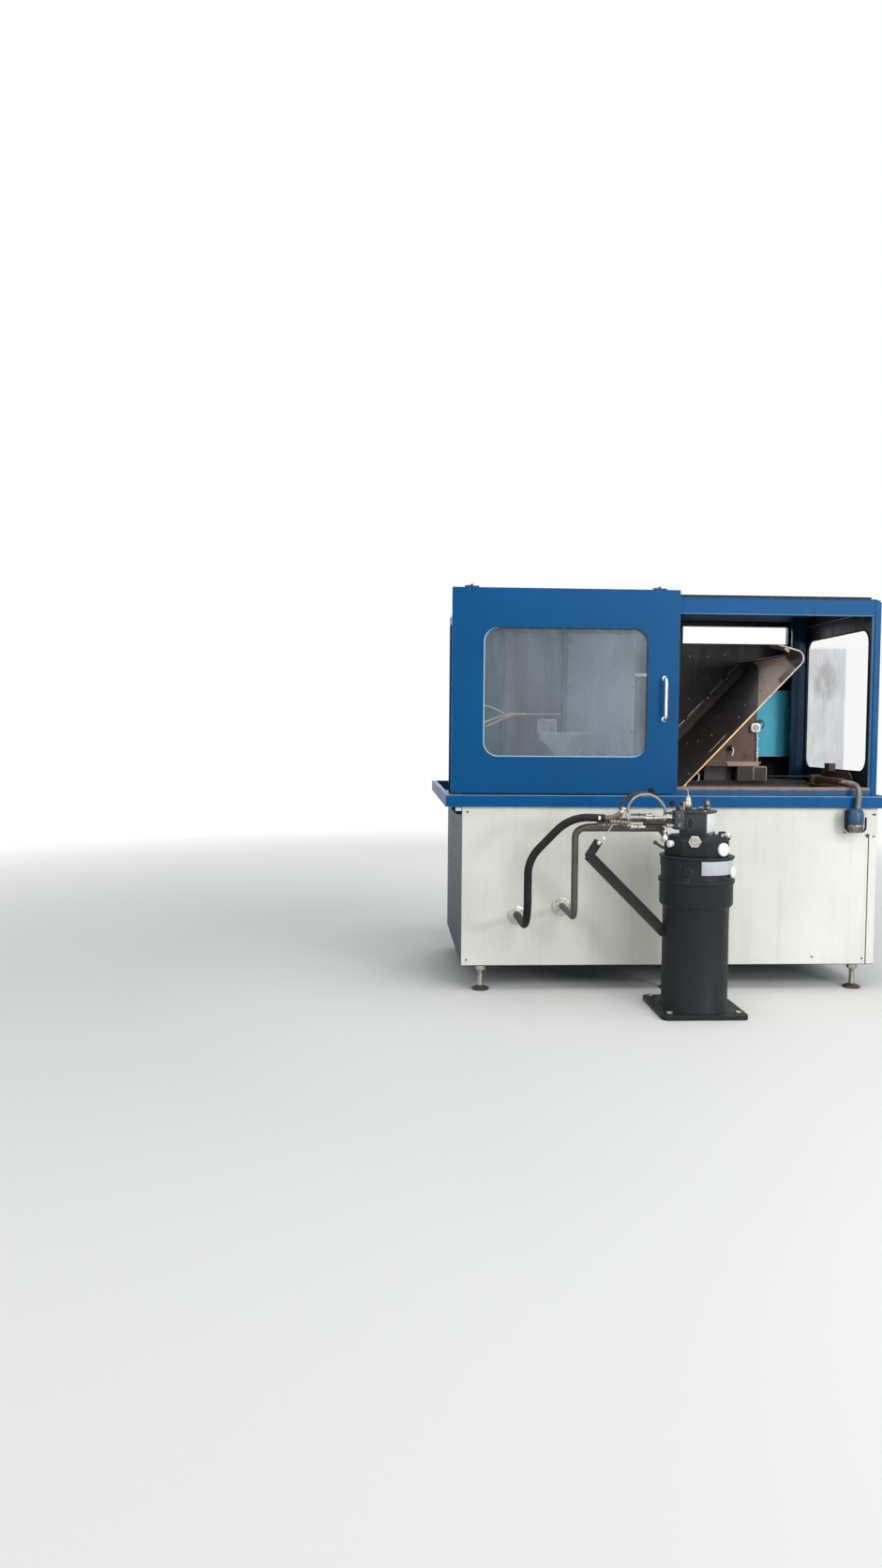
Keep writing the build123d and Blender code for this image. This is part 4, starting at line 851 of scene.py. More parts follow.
def make_conduit():
    """Ribbed grey conduit from its channel on the shelf, over the sill, down to the plug."""
    low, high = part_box("flexible_conduit")
    level = high.z - 0.0155
    route = [(1.006, high.y, level), (1.008, -0.300, level), (1.014, -0.400, level),
             (1.024, -0.466, level - 0.001), (1.034, -0.512, 1.148), (1.037, -0.538, 1.118),
             (1.034, -0.545, 1.080), (1.028, -0.546, low.z + 0.004)]
    conduit = ribbed_along("ribbed_conduit", route, 0.0148, 0.0010, 0.0034, "conduit_grey")
    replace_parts(conduit, "flexible_conduit")
    join("conduit_channel", [
        bar((0.986, -0.392, level + 0.0165), (1.030, high.y, level + 0.0205), "shelf_primer",
            0.0006),
        bar((0.986, -0.392, level - 0.012), (0.9895, high.y, level + 0.018), "shelf_primer",
            0.0006)])


def make_plug():
    """Blue round connector with ribs, a locking ring, its clip and the neck to the plate."""
    low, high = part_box("plug_connector")
    at = Vector(((low.x + high.x) / 2 - 0.004, low.y + 0.05, low.z + 0.008))
    reach = 1000 * (high.z + 0.006 - at.z)
    shell = turned(at, UP, (36, 40, 46.5, 48, 47.5, 55, 46.5, 102, 42, 120, 34, 127),
                   "plug_blue", 0.0012, 48)
    gland = turned((1.026, at.y + 0.012, at.z), UP, (24, 106, 24, reach - 6, 19.5, reach),
                   "plug_blue", 0.001, 8)
    ribs = [(at + around(angle) * 0.0425, math.radians(angle)) for angle in range(0, 360, 18)]
    join("plug_locking_ring", [
        turned(at, UP, (32, 0, 40, 8, 42.5, 42, 39, 50), "knurl_steel", 0.0008, 48),
        *(bar(foot + mm(-3, -2.6, 10), foot + mm(3, 2.6, 46), "knurl_steel", 0.001, turn=turn)
          for foot, turn in ribs)])
    neck = bar(at + mm(-30, 0, 8), (at.x + 0.030, high.y, at.z + 0.122), "black_rubber",
               0.0015, (0.014, 1))
    pipe([at + mm(-51.5, -8, 118), at + mm(-51.5, -8, 4.5), at + mm(57.5, -8, 4.5),
          at + mm(57.5, -8, 84)], [0.026, 0.026], 0.0058, "black_rubber", 12, name="plug_bail")
    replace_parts(shell, "plug_connector")
    join("plug_body", [shell, gland, neck])


# Hydraulic unit


def cover_band(start, sweep, low, high, thick, material):
    """Curved cover plate on the body: its end face, spun round the unit."""
    clear()
    reach = around(start)
    stand = Matrix((reach, UP, reach.cross(UP))).transposed()
    bpy.ops.mesh.primitive_plane_add(size=1.0, rotation=stand.to_euler(),
                                     location=UNIT + reach * (0.1795 + thick / 2)
                                     + UP * (low + high) / 2)
    bpy.context.object.scale = (thick, high - low, 1.0)
    settle(True, True)
    edit_all()
    bpy.ops.mesh.spin(steps=max(8, round(sweep / 4)), angle=-math.radians(sweep), center=UNIT,
                      axis=UP)
    close_up()
    return finish(material, 0.0012)


def on_collar(step, along, rise):
    """Place and outward direction on one of the collar's eight flat sides."""
    out = around(2 - 112.5 + step * 45)
    flat = 0.172 * math.cos(math.pi / 8)
    side = Vector((-out.y, out.x, 0.0))
    return unit(0, 0, 848 + rise) + out * (flat - 0.002) + side * along / 1000, out


def on_body(azimuth, reach, height):
    """Place and outward direction on the round body."""
    return unit(0, 0, height) + around(azimuth) * reach, around(azimuth)


def make_unit_body():
    """Foot plate, barrel, ringed body, cover bands and the eight-sided collar with its caps."""
    barrel = (176, 24, 168, 36, 168, 538, 186, 560, 186, 668, 193, 671, 193, 689, 180, 693,
              180, 797, 191, 799, 191, 805.5, 170, 808)
    collar = (166, 806.5, 172, 812, 172, 890, 158, 900, 150, 900, 150, 907.5)
    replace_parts(join("unit_main_body", [
        turned(UNIT, UP, barrel, "unit_enamel", 0.0015, 96),
        bar(unit(-220, -220, 0), unit(220, 220, 24), "unit_enamel", 0.002, (0.032, 2)),
        *(hex_nut(unit(175 * aside, 175 * behind, 24), UP, 0.016, 0.013, "plain_steel")
          for aside, behind in CORNERS),
        cover_band(-99, 140, 0.722, 0.7915, 0.006, "band_enamel"),
        cover_band(-206, 74, 0.754, 0.7935, 0.005, "unit_enamel"),
        turned(UNIT, UP, collar, "unit_enamel", 0.0018, 8, math.radians(2)),
        *(turned(*on_body(azimuth, 0.177, height),
                 (size, 0, size, rise, size * 0.7, rise + 4, size * 0.5, rise + 4, size * 0.45,
                  rise + 1), "unit_enamel", 0.0008, 28)
          for azimuth, height, size, rise in ((-120, 737, 24, 10), (-122, 695, 15, 14)))]),
        "unit_body")
    hexagon = (33, 0, 33, 11, 30, 14, 25, 14, 23.5, 8, 17.5, 8, 16.5, 12, 9, 12, 8, 6)
    y = UNIT.y - 0.030
    join("unit_caps", [
        turned(*on_collar(-1, -4, 22), (16, 0, 16, 12, 18, 14, 18, 24, 14, 28, 4, 30),
               "white_cap", 0.0008, 28),
        turned(*on_collar(0, 0, 40), hexagon, "cap_steel", 0.0008, 6, math.radians(30)),
        turned(*on_collar(1, 28, 0), (30, 0, 34, 3, 34, 13, 31, 16, 4, 18), "white_cap", 0.0008,
               40),
        turned(*on_body(-37, 0.183, 734), (26, 0, 31, 3, 31, 12, 28, 15, 4, 17), "white_cap",
               0.0008, 40),
        pipe([(-0.135, y, 0.838), (-0.175, y, 0.848), (-0.212, y, 0.874)], [0.02], 0.0075,
             "block_enamel", 14),
        turned((-0.205, y, 0.869), (-0.8, 0, 0.55), (9, 0, 11, 3, 11, 12, 8, 15),
               "block_enamel", 0.0008, 20)])


def make_valve_block():
    """Turned valve block with its slot, side port block, a painted sheen plate and the cap plate.
    """
    turn = math.radians(-37)
    out, side = around(-37 - 90), around(-37)
    slot = unit(0, 0, 971) + out * 0.071 + side * -0.012
    cover = unit(0, 0, 968) + side * 0.0725
    foot = unit(0, 0, 915.5) + side * 0.072
    y = UNIT.y
    plug = (1000, 0, 1000, 6, 750, 8, 700, 8, 600, 3)
    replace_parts(join("valve_block", [
        bar(unit(-71, -71, 907), unit(71, 71, 1025), "block_enamel", 0.0012, (0.005, 2, 3),
            turn),
        bar(unit(-79, -79, 1024.5), unit(79, 79, 1036), "block_enamel", 0.0015, (0.008, 2, 4),
            turn),
        seal_ring(slot, 0.036, 0.062, 0.016, 0.0045, 0.0025, out, "block_enamel", 0.0007),
        seal_ring(slot, 0.029, 0.055, 0.013, 0.0135, 0.0006, out, "slot_black"),
        bar((-0.111, y - 0.036, 0.938), (-0.062, y + 0.030, 1.034), "block_enamel", 0.001,
            (0.006, 1, 4)),
        bar((-0.094, y - 0.030, 1.030), (-0.066, y + 0.020, 1.062), "block_enamel", 0.001,
            (0.008, 1, 4)),
        *(turned((x, y - 0.034, z), FORWARD, plug, "brass_dark", 0.0005, 6, size=size)
          for x, z, size in ((-0.086, 0.962, 0.0135), (-0.088, 1.008, 0.0105),
                             (-0.080, 1.046, 0.0080))),
        # Painted sheen: white plate on the block's right face.
        bar(cover - mm(1.5, 58, 41), cover + mm(1.5, 58, 54), "white_cap", 0.0008, turn=turn),
        *(bar(foot - out * step - mm(2.5, 4, 10), foot - out * step + mm(2.5, 4, 10),
              "plain_steel", 0.0007, turn=turn) for step in (-0.022, 0, 0.022)),
        *(turned(unit(0, 0, 1036) + side * aside * 0.064 - out * forward * 0.064, UP,
                 (6.5, 0, 6.5, 5, 3.5, 5, 3.3, 2.5), "plain_steel", 0.0005, 20)
          for aside, forward in CORNERS)]), "unit_valve_block")


def make_unit_fittings():
    """Fittings that stand on the cap plate, and the eyelet on the collar's right shoulder."""
    at = unit(-50, 0, 1036)
    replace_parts(join("cap_fittings", [
        turned(at, UP, (19, 19, 19, 36, 17, 39, 17, 50, 12, 66, 8.5, 74, 5.5, 80),
               "pale_brass", 0.0012, 8),
        turned(at, UP, (20.5, 0, 20.5, 18, 18.5, 21), "block_enamel", 0.001, 6),
        pipe([at + mm(0, 0, 70), at + mm(-2, 0, 100), at + mm(-18, 0, 124),
              at + mm(-10, 0, 136)], [0.02, 0.006], 0.0024, "pale_brass", 10),
        turned(at + mm(-22, -4, 0), UP, thread(5.5, 7.8, 0, 8, 5.5), "pale_brass", sides=10),
        turned(unit(-80, 12, 1036), UP, (9.5, 0, 9.5, 12, 7, 15, 7, 30, 9.2, 32, 9.2, 44, 5, 48),
               "block_enamel", 0.0008, 18),
        pipe([unit(-8, -34, 1036), unit(-8, -34, 1050), unit(14, -50, 1050)], [0.008], 0.0085,
             "brass_dark", 16, rounding=0.0006),
        turned(unit(57, 18, 1036), UP, (17.5, 0, 17.5, 14, 14.5, 16, 14.5, 22, 16.5, 23, 16.5, 30,
                                        14, 32, 12.5, 44, 8, 53, 4, 55),
               "brass_dark", 0.0008, 24)]), "unit_fittings")
    at = unit(116, -46, 896)
    join("collar_eyelet", [
        bar(at - mm(20, 3, 2), at + mm(20, 3, 36), "unit_enamel", 0.0008, (0.008, 1, 4)),
        turned(at + mm(2, -2, 14), FORWARD, (10, 0, 10, 6, 6, 6, 5.5, 3), "plain_steel", 0.0006,
               24),
        turned(at + mm(40, 4, -8), UP, (4, 0, 4, 14, 6.5, 16, 6.5, 22, 3, 25), "black_rubber",
               0.0005, 16),
        turned(at + mm(14, -4, 18), (1, -0.25, 0),
               (10, 0, 10, 8, 15, 9, 15, 20, 12.5, 24, 7, 24, 6.5, 20), "white_cap", 0.0008,
               6)])


def connector(at, heading, size, length, material):
    """Screwed connector: nut, collar, second nut and a threaded stub."""
    collar = (720, 260, 720, 400, 900, 410, 900, 460, 720, 470, 720, 560)
    return join("connector", [
        turned(at, heading, profile, material, size * rounding, sides, size=size, length=length)
        for profile, rounding, sides in (
            ((1000, 0, 1000, 280), 0.08, 6), (collar, 0.04, 24), ((840, 550, 840, 760), 0.08, 6),
            (thread(550, 620, 750, 6, 250 / 6, 0.45, 0.98), 0.0, 20))])


def make_manifold():
    """Rows of screwed connectors, a dark ribbed sleeve, rods, and bosses under the loop."""
    y = UNIT.y
    pieces = [rod((-0.440, y, 0.984), RIGHT, 0.010, 0.38, "dark_fitting", sides=24)]
    for at, heading, size, length, material, shifts in (
            ((-0.446, y - 0.006, 0.977), RIGHT, 0.0155, 0.056, "brass_dark", [(57, 2, -4)]),
            ((-0.338, y - 0.014, 0.951), RIGHT, 0.0120, 0.040, "pale_brass",
             [(40, 0, 0), (82, 4, 44), (124, 4, 46), (188, 2, 7)]),
            ((-0.420, y + 0.012, 1.004), (1, 0, 0.05), 0.0135, 0.046, "pale_brass",
             [(165, 0, 2)])):
        first = connector(at, heading, size, length, material)
        pieces += [first, *(copy_to(first, mm(*shift)) for shift in shifts)]
    rings = []
    for begin in (1 + 6.5 * number for number in range(24)):
        rings += [13.5, begin, 15.8, begin + 1.625, 15.8, begin + 3.9, 13.5, begin + 5.85]
    pieces.append(turned((-0.266, y - 0.002, 0.970), RIGHT, rings, "dark_fitting", sides=28,
                         angle=60.0))
    rings = (1000, 0, 1000, 380, 1700, 380, 1700, 430, 1000, 430, 1000, 900, 1600, 900, 1600,
             950, 900, 960, 900, 1000)
    for x, behind, z, length, size, material in (
            (-0.372, -0.016, 0.998, 0.262, 0.0046, "plain_steel"),
            (-0.160, -0.004, 1.022, 0.080, 0.0060, "brown_pipe"),
            (-0.330, 0.010, 1.012, 0.110, 0.0050, "brown_pipe"),
            (-0.505, 0.004, 0.972, 0.120, 0.0085, "brown_pipe")):
        pieces.append(turned((x, y + behind, z), RIGHT, rings, material, 0.0004, 18, size=size,
                             length=length))
    boss = (9.5, 0, 12.5, 3, 12.5, 14, 10, 16, 10, 36, 11.8, 38, 11.8, 52, 9, 54, 9, 60)
    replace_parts(join("screwed_connectors", [
        *pieces,
        turned((-0.0985, y - 0.020, 0.958), FORWARD, (12, 0, 12, 6, 7, 6, 6.5, 2),
               "pale_brass", 0.0006, 24),
        pipe([(-0.430, y, 0.998), (-0.404, y - 0.004, 1.004), (-0.380, y - 0.006, 1.032)],
             [0.022], 0.0125, "brass_dark", 18),
        *(turned((x, y - 0.0055, z), (0.62, -0.05, 0.78), (1000, 0, 1000, 10, 720, 12, 720, 16),
                 "cap_steel", 0.0008, 6, size=size)
          for x, z, size in ((-0.386, 1.022, 0.0165), (-0.376, 1.036, 0.0150))),
        turned((-0.352, y - 0.018, 0.992), (-0.2, -0.1, 1), thread(6, 8.8, 0, 5, 6),
               "pale_brass", sides=10),
        *(turned((x, y, 0.950), UP, boss, "pale_brass", 0.0006, 8)
          for x in (-0.344, -0.157))]), "pipe_manifold")


def make_loop():
    """Round arch of braided line over the connectors, and a dark ribbed line bent round it."""
    y = UNIT.y
    arch = ((-0.343, 1.004), (-0.351, 1.030), (-0.343, 1.066), (-0.312, 1.106), (-0.256, 1.121),
            (-0.202, 1.105), (-0.164, 1.066), (-0.149, 1.026), (-0.157, 1.004))
    behind = y + 0.014
    outer = [(-0.384, y + 0.012, 1.030), (-0.380, behind, 1.062), (-0.356, behind, 1.098),
             (-0.312, behind, 1.118), (-0.262, behind, 1.126), (-0.210, behind, 1.114),
             (-0.170, behind, 1.080), (-0.146, y + 0.013, 1.034), (-0.152, y + 0.010, 1.010)]
    braid = ribbed_along("braided_loop", [(x, y, z) for x, z in arch], 0.0063, 0.0007, 0.0026,
                         "braid_steel", 14)
    dark = ribbed_along("outer_dark_line", outer, 0.0082, 0.0004, 0.004, "dark_fitting", 16)
    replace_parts(join("loop_line", [braid, dark]), "loop_pipe")


BASE_WALL = -0.504


def make_hose():
    """Thick black hose from the connectors, over its shoulder, down and back to the base."""
    y = UNIT.y
    route = [(-0.470, y, 0.9935), (-0.646, y, 1.0005), (-0.860, y, 0.7800), (-0.860, y, 0.420),
             (-0.860, BASE_WALL, 0.420)]
    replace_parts(join("supply_line", [
        pipe(route, [0.225, 0.190, 0.150], 0.0205, "black_rubber", 28, 5.0),
        rod((-0.506, y, 0.9924), (1, 0, 0.03), 0.0222, 0.012, "dark_fitting", 0.0008, 32),
        bar((-0.505, y - 0.031, 0.988), (-0.494, y - 0.019, 1.006), "white_cap", 0.0012),
        turned((-0.480, y, 0.9930), (1, 0, 0.05), (17.5, 0, 17.5, 16, 14.5, 18, 14.5, 50),
               "brown_pipe", 0.0008, 28)]), "supply_hose")


def make_return_pipe():
    """Brownish bent pipe with its white end fitting, the thin line along it, and the lever."""
    y = at_depth(-0.340)
    level = 0.937
    route = [(-0.1266, y, level - 0.058), (-0.1566, y, level), (-0.608, y, level),
             (-0.608, y, 0.470), (-0.608, BASE_WALL, 0.470)]
    union = (19, -22, 20.5, -18, 18.5, 0, 12, 13, 8, 15, 8, 21, 10.5, 22, 10.5, 33, 6, 37)
    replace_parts(join("return_line", [
        pipe(route, [0.040, 0.050, 0.050], 0.0178, "brown_pipe", 28, 6.0),
        pipe([(-0.600, y - 0.026, 0.940), (-0.560, y - 0.026, 0.958), (-0.470, y - 0.030, 0.964)],
             [0.06], 0.0042, "dark_fitting", 12, 5.0),
        turned((-0.158, UNIT.y - 0.020, 0.900), UP, union, "cap_steel", 0.0008, 24)]),
        "return_pipe")
    heading = Vector((-0.046, 0, -0.074))
    y = UNIT.y - 0.030
    join("lever_rod", [
        rod((-0.431, y, 0.966), heading, 0.0035, 0.080, "plain_steel", sides=12),
        turned((-0.472, y, 0.900), heading, (6, 0, 9.5, 4, 9.5, 13, 6, 17), "white_cap", 0.001,
               20)])


def make_wall_flanges():
    """Bolted flanges where the hose and the return pipe enter the base."""
    low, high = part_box("pipe_flanges")
    radius = 0.052
    pieces = []
    for x, z, bore in ((low.x + radius, low.z + radius, 20.5),
                       (high.x - radius, high.z - radius, 13.8)):
        pieces.append(turned((x, high.y, z), FORWARD,
                             (52, 0, 52, 9, 49, 11, bore + 14, 11, bore + 11, 13.8, bore - 2,
                              13.8), "cap_steel", 0.0006, 56))
        for angle in (45, 135, 225, 315):
            spot = around(angle) * 0.040
            pieces.append(hex_nut((x + spot.x, high.y - 0.010, z + spot.y), FORWARD, 0.006,
                                  0.0038, "plain_steel"))
    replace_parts(join("bolted_flanges", pieces), "pipe_flanges")


def make_arm():
    """Dark bent arm: two grooved bars with a pin at the elbow and one at the tip."""
    tip, elbow, foot = (Vector((x, UNIT.y, z)) for x, z in ((-0.500, 0.872), (-0.545, 0.800),
                                                           (-0.150, 0.405)))
    half = 0.0085
    pieces = []
    for start, end, wide in ((tip, elbow, 0.022), (elbow, foot, 0.0275)):
        run = end - start
        clear()
        bpy.ops.mesh.primitive_cube_add(size=1.0, location=(start + end) / 2,
                                        rotation=(0, -math.atan2(run.z, run.x), 0),
                                        scale=(run.length + 0.012, 2 * half, 2 * wide))
        settle()
        edit_where("FACE", lambda face: face.normal.y < -0.9)
        bpy.ops.mesh.inset(thickness=0.0045, depth=0.0)
        bpy.ops.transform.translate(value=(0, 0.006, 0))
        bpy.ops.object.mode_set(mode="OBJECT")
        pieces.append(finish("arm_black", 0.0015))
    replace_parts(join("bent_arm", [
        *pieces,
        turned(elbow + BACK * half, FORWARD, (20, 0, 20, 19, 16, 21, 9, 21, 8, 18), "arm_black",
               0.0008, 28),
        turned(tip + Vector((0.002, half, -0.006)), FORWARD, (11, 0, 11, 20, 7, 22),
               "plain_steel", 0.0006, 20)]), "unit_arm")


# Splash chute: front hem, edge strips, a pale plate of painted light, and rivets

CHUTE_ANGLE = math.radians(46.5)
CHUTE_SLOPE = 1.120
CHUTE_BEND = 0.050
CHUTE_SHEET = 0.005
CHUTE_FRONT = 0.300
CHUTE_REAR = 1.262
EAR_TURN = math.radians(118)
EAR_LENGTH = 0.118
CHUTE_FOOT = Vector((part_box("right_side_panel")[0].x - 1.0755, 0.0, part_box("tray_floor")[1].z))
UP_SLOPE = Vector((math.cos(CHUTE_ANGLE), 0.0, math.sin(CHUTE_ANGLE)))
OFF_SLOPE = Vector((-math.sin(CHUTE_ANGLE), 0.0, math.cos(CHUTE_ANGLE)))


def on_chute(along, above, depth):
    """Place along the chute's slope, square above its underside, and deep in the machine."""
    return CHUTE_FOOT + UP_SLOPE * along + OFF_SLOPE * above + Vector((0, at_depth(depth), 0))


def slope_bar(along, above, depth, material, rounding):
    """Straight bar that lies with the chute's slope, from three (low, high) pairs."""
    sides = (along, depth, above)
    return block(on_chute(sum(along) / 2, sum(above) / 2, sum(depth) / 2),
                 [high - low for low, high in sides], material, rounding,
                 turn=(0, -CHUTE_ANGLE, 0))


def square_rod(first, last, radius, turn, material, rounding):
    """Four-sided rod between two places."""
    run = last - first
    return rod(first, run, radius, run.length, material, rounding, 4, math.radians(turn))


def make_chute_hem():
    """Hem with a painted highlight on the pan's front edge, round the bend and out to the ear's
    tip.
    """
    middle = CHUTE_SHEET / 2
    bend = CHUTE_BEND - middle
    reach = bend * math.tan(EAR_TURN / 2)
    start = on_chute(0.006, middle, CHUTE_FRONT - 0.001)
    corner = on_chute(CHUTE_SLOPE + reach, middle, CHUTE_FRONT - 0.001)
    heading = UP_SLOPE * math.cos(EAR_TURN) + OFF_SLOPE * math.sin(EAR_TURN)
    outward = UP_SLOPE * math.sin(EAR_TURN) - OFF_SLOPE * math.cos(EAR_TURN)
    tip = corner + heading * (reach + EAR_LENGTH)
    join("chute_front_hem", [
        pipe([start, corner, tip], [bend], 0.0050, "hem_highlight_steel", 12, angle=60.0),
        *(hex_nut(tip - heading * back + outward * (middle - 0.0005) + mm(0, 22, 0), outward,
                  0.0085, 0.0075, "dark_fitting") for back in (0.022, 0.048)),
        rod(tip - heading * 0.058 - outward * 0.012 + mm(0, 2, 0), FORWARD, 0.022, 0.003,
            "pale_primer", 0.0006, 3, math.radians(200))])


def make_chute_strips():
    """Strip on the rear upstand with a pale rod as painted highlight, clips, a weld line and
    rivets.
    """
    edge = 0.0725
    rivet = (6, 0, 5.5, 2, 3.5, 3.4)
    pieces = [
        slope_bar((0.052, 1.132), (0.046, edge), (CHUTE_REAR - 0.0030, CHUTE_REAR - 0.0005),
                  "chute_steel", 0.0006),
        # Painted highlight: pale square rod along the upstand's top fold.
        square_rod(on_chute(0.054, edge, CHUTE_REAR + 0.002),
                   on_chute(1.130, edge, CHUTE_REAR + 0.002), 0.0060, 45, "rivet_and_highlight_steel", 0.0008)]
    for along, length in ((0.615, 0.022), (0.800, 0.050), (0.985, 0.040)):
        pieces += [
            slope_bar((along, along + length), (edge - 0.016, edge + 0.009),
                      (CHUTE_REAR - 0.010, CHUTE_REAR + 0.001), "clip_steel", 0.0015),
            hex_nut(on_chute(along + length / 2, edge - 0.008, CHUTE_REAR - 0.010), FORWARD,
                    0.006, 0.005, "plain_steel")]
    first, last = on_chute(0.400, CHUTE_SHEET, 0.412), on_chute(0.545, CHUTE_SHEET, 0.412)
    run = last - first
    pieces.append(turned(first, run, (1.8, 0, 2.4, 20, 1.9, 50, 2.4, 90, 1.8, 1000 * run.length),
                         "rivet_and_highlight_steel", sides=8))
    for along, depth in ((0.794, 0.584), (0.705, 0.910), (0.689, 0.488), (0.462, 1.012),
                         (0.226, 0.408), (0.489, 0.833)):
        pieces.append(turned(on_chute(along, CHUTE_SHEET - 0.0005, depth), OFF_SLOPE, rivet,
                             "rivet_and_highlight_steel", sides=14))
    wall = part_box("rear_wall")[0].y + 0.0005
    for x, z in ((0.449, 1.946), (0.571, 1.947), (0.449, 1.663), (0.690, 1.960), (0.260, 1.950)):
        pieces.append(turned((x, wall, z), FORWARD, rivet, "rivet_and_highlight_steel", sides=14))
    join("chute_strips", pieces)


def make_lit_patch():
    """Paler plate that paints a pool of light on the upper floor, carried up the bend and cut to
    slanting edges.
    """
    near, far = CHUTE_FRONT + 0.006, 1.062
    low, level = 0.765, CHUTE_SHEET + 0.0004
    clear()
    bpy.ops.mesh.primitive_plane_add(
        size=1.0, location=on_chute((low + CHUTE_SLOPE) / 2, level, (near + far) / 2),
        rotation=(0, -CHUTE_ANGLE, 0))
    bpy.context.object.scale = (CHUTE_SLOPE - low, far - near, 1.0)
    settle(True, True)
    mesh = bpy.context.object.data

    def is_upper(edge):
        return min((mesh.vertices[index].co - CHUTE_FOOT).dot(UP_SLOPE)
                   for index in edge.vertices) > CHUTE_SLOPE - 0.001
    edit_where("EDGE", is_upper)
    bpy.ops.mesh.spin(steps=9, angle=-math.radians(82), axis=FORWARD,
                      center=on_chute(CHUTE_SLOPE, CHUTE_BEND, near))
    # The lower slanting cut follows a painted shadow line across the floor.
    for along, normal, lower_side in (
            (low, UP_SLOPE * 0.664 - Vector((0, 0.349, 0)), True),
            (1.076, UP_SLOPE * 0.244 - Vector((0, 0.093, 0)), False)):
        bpy.ops.mesh.select_all(action="SELECT")
        bpy.ops.mesh.bisect(plane_co=on_chute(along, 0, near), plane_no=normal,
                            clear_inner=lower_side, clear_outer=not lower_side)
    close_up(merge=True)
    upward = sum(face.normal.dot(OFF_SLOPE) * face.area for face in mesh.polygons)
    modify("SOLIDIFY", thickness=0.0028, offset=1.0 if upward > 0 else -1.0)
    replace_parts(join("chute_lit_patch_plate", [
        finish("lit_patch_primer"),
        square_rod(on_chute(1.076, level + 0.004, near + 0.001), on_chute(1.163, 0.052, 0.537),
                   0.0062, 20, "pale_primer", 0.001),
        slope_bar((0.965, 1.086), (level + 0.003, level + 0.030), (near + 0.004, near + 0.009),
                  "clip_steel", 0.001),
        slope_bar((0.965, 1.086), (level + 0.003, level + 0.007), (near + 0.004, near + 0.034),
                  "clip_steel", 0.001),
        *(turned(on_chute(along, level + 0.002, depth), OFF_SLOPE, (5, 0, 4.5, 1.8, 3, 3),
                 "clip_steel", sides=12)
          for along, depth in ((0.905, 0.520), (0.905, 0.532), (0.93, 0.50), (0.985, 0.62),
                               (1.03, 0.74), (0.87, 0.42)))]), "chute_liner")


# Column: flange lip, hooks, limit switch with its button, and the line down its edge


def make_column_parts():
    """Bright flange lip, two hooks, bolts, and painted highlights on the clamping box's edges."""
    low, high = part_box("fixture_box")
    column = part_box("slide_column")[0].y
    pieces = [
        bar((0.436, low.y - 0.010, high.z + 0.001), (0.630, low.y + 0.004, high.z + 0.027),
            "pale_primer", 0.002),
        bar((0.424, low.y - 0.0125, high.z + 0.020), (0.640, low.y - 0.006, high.z + 0.0275),
            "pale_primer", 0.0015)]
    for x, y, z, size in ((0.462, column, 1.345, 1.0), (0.262, column + 0.01, 1.190, 0.9)):
        pieces += [
            turned((x, y + 0.004, z), FORWARD, (16, 0, 16, 10, 12, 13, 12, 22, 6, 24),
                   "dark_fitting", 0.001, 20, size=size),
            pipe([(x + 0.004, y - 0.016, z + 0.004), (x + 0.008, y - 0.019, z - 0.014),
                  (x + 0.001, y - 0.019, z - 0.044 * size)], [0.02], 0.0042 * size, "white_cap",
                 12)]
    for x, z in ((0.340, 1.300), (0.340, 1.420), (0.560, 1.300)):
        pieces.append(hex_nut((x, column, z), FORWARD, 0.008, 0.006, "dark_fitting"))
    # Painted highlights: pale bars along the box's top and right edges and down its middle.
    for left, foot, right, top in (
            (0.600, high.z - 0.006, high.x + 0.001, high.z + 0.001),
            (high.x - 0.005, low.z, high.x + 0.001, high.z),
            (0.598, low.z + 0.01, 0.603, high.z - 0.004)):
        pieces.append(bar((left, low.y - 0.003, foot), (right, low.y + 0.002, top),
                          "pale_primer", 0.0008))
    for x, z in ((0.532, 1.206), (0.552, 1.206), (0.576, 1.206), (0.540, 1.172),
                 (0.655, 1.206), (0.655, 1.176)):
        pieces.append(turned((x, low.y + 0.001, z), FORWARD, (5.5, 0, 5.5, 3, 2.5, 3, 2.4, 1),
                             "dark_fitting", 0.0005, 14))
    join("column_parts", pieces)


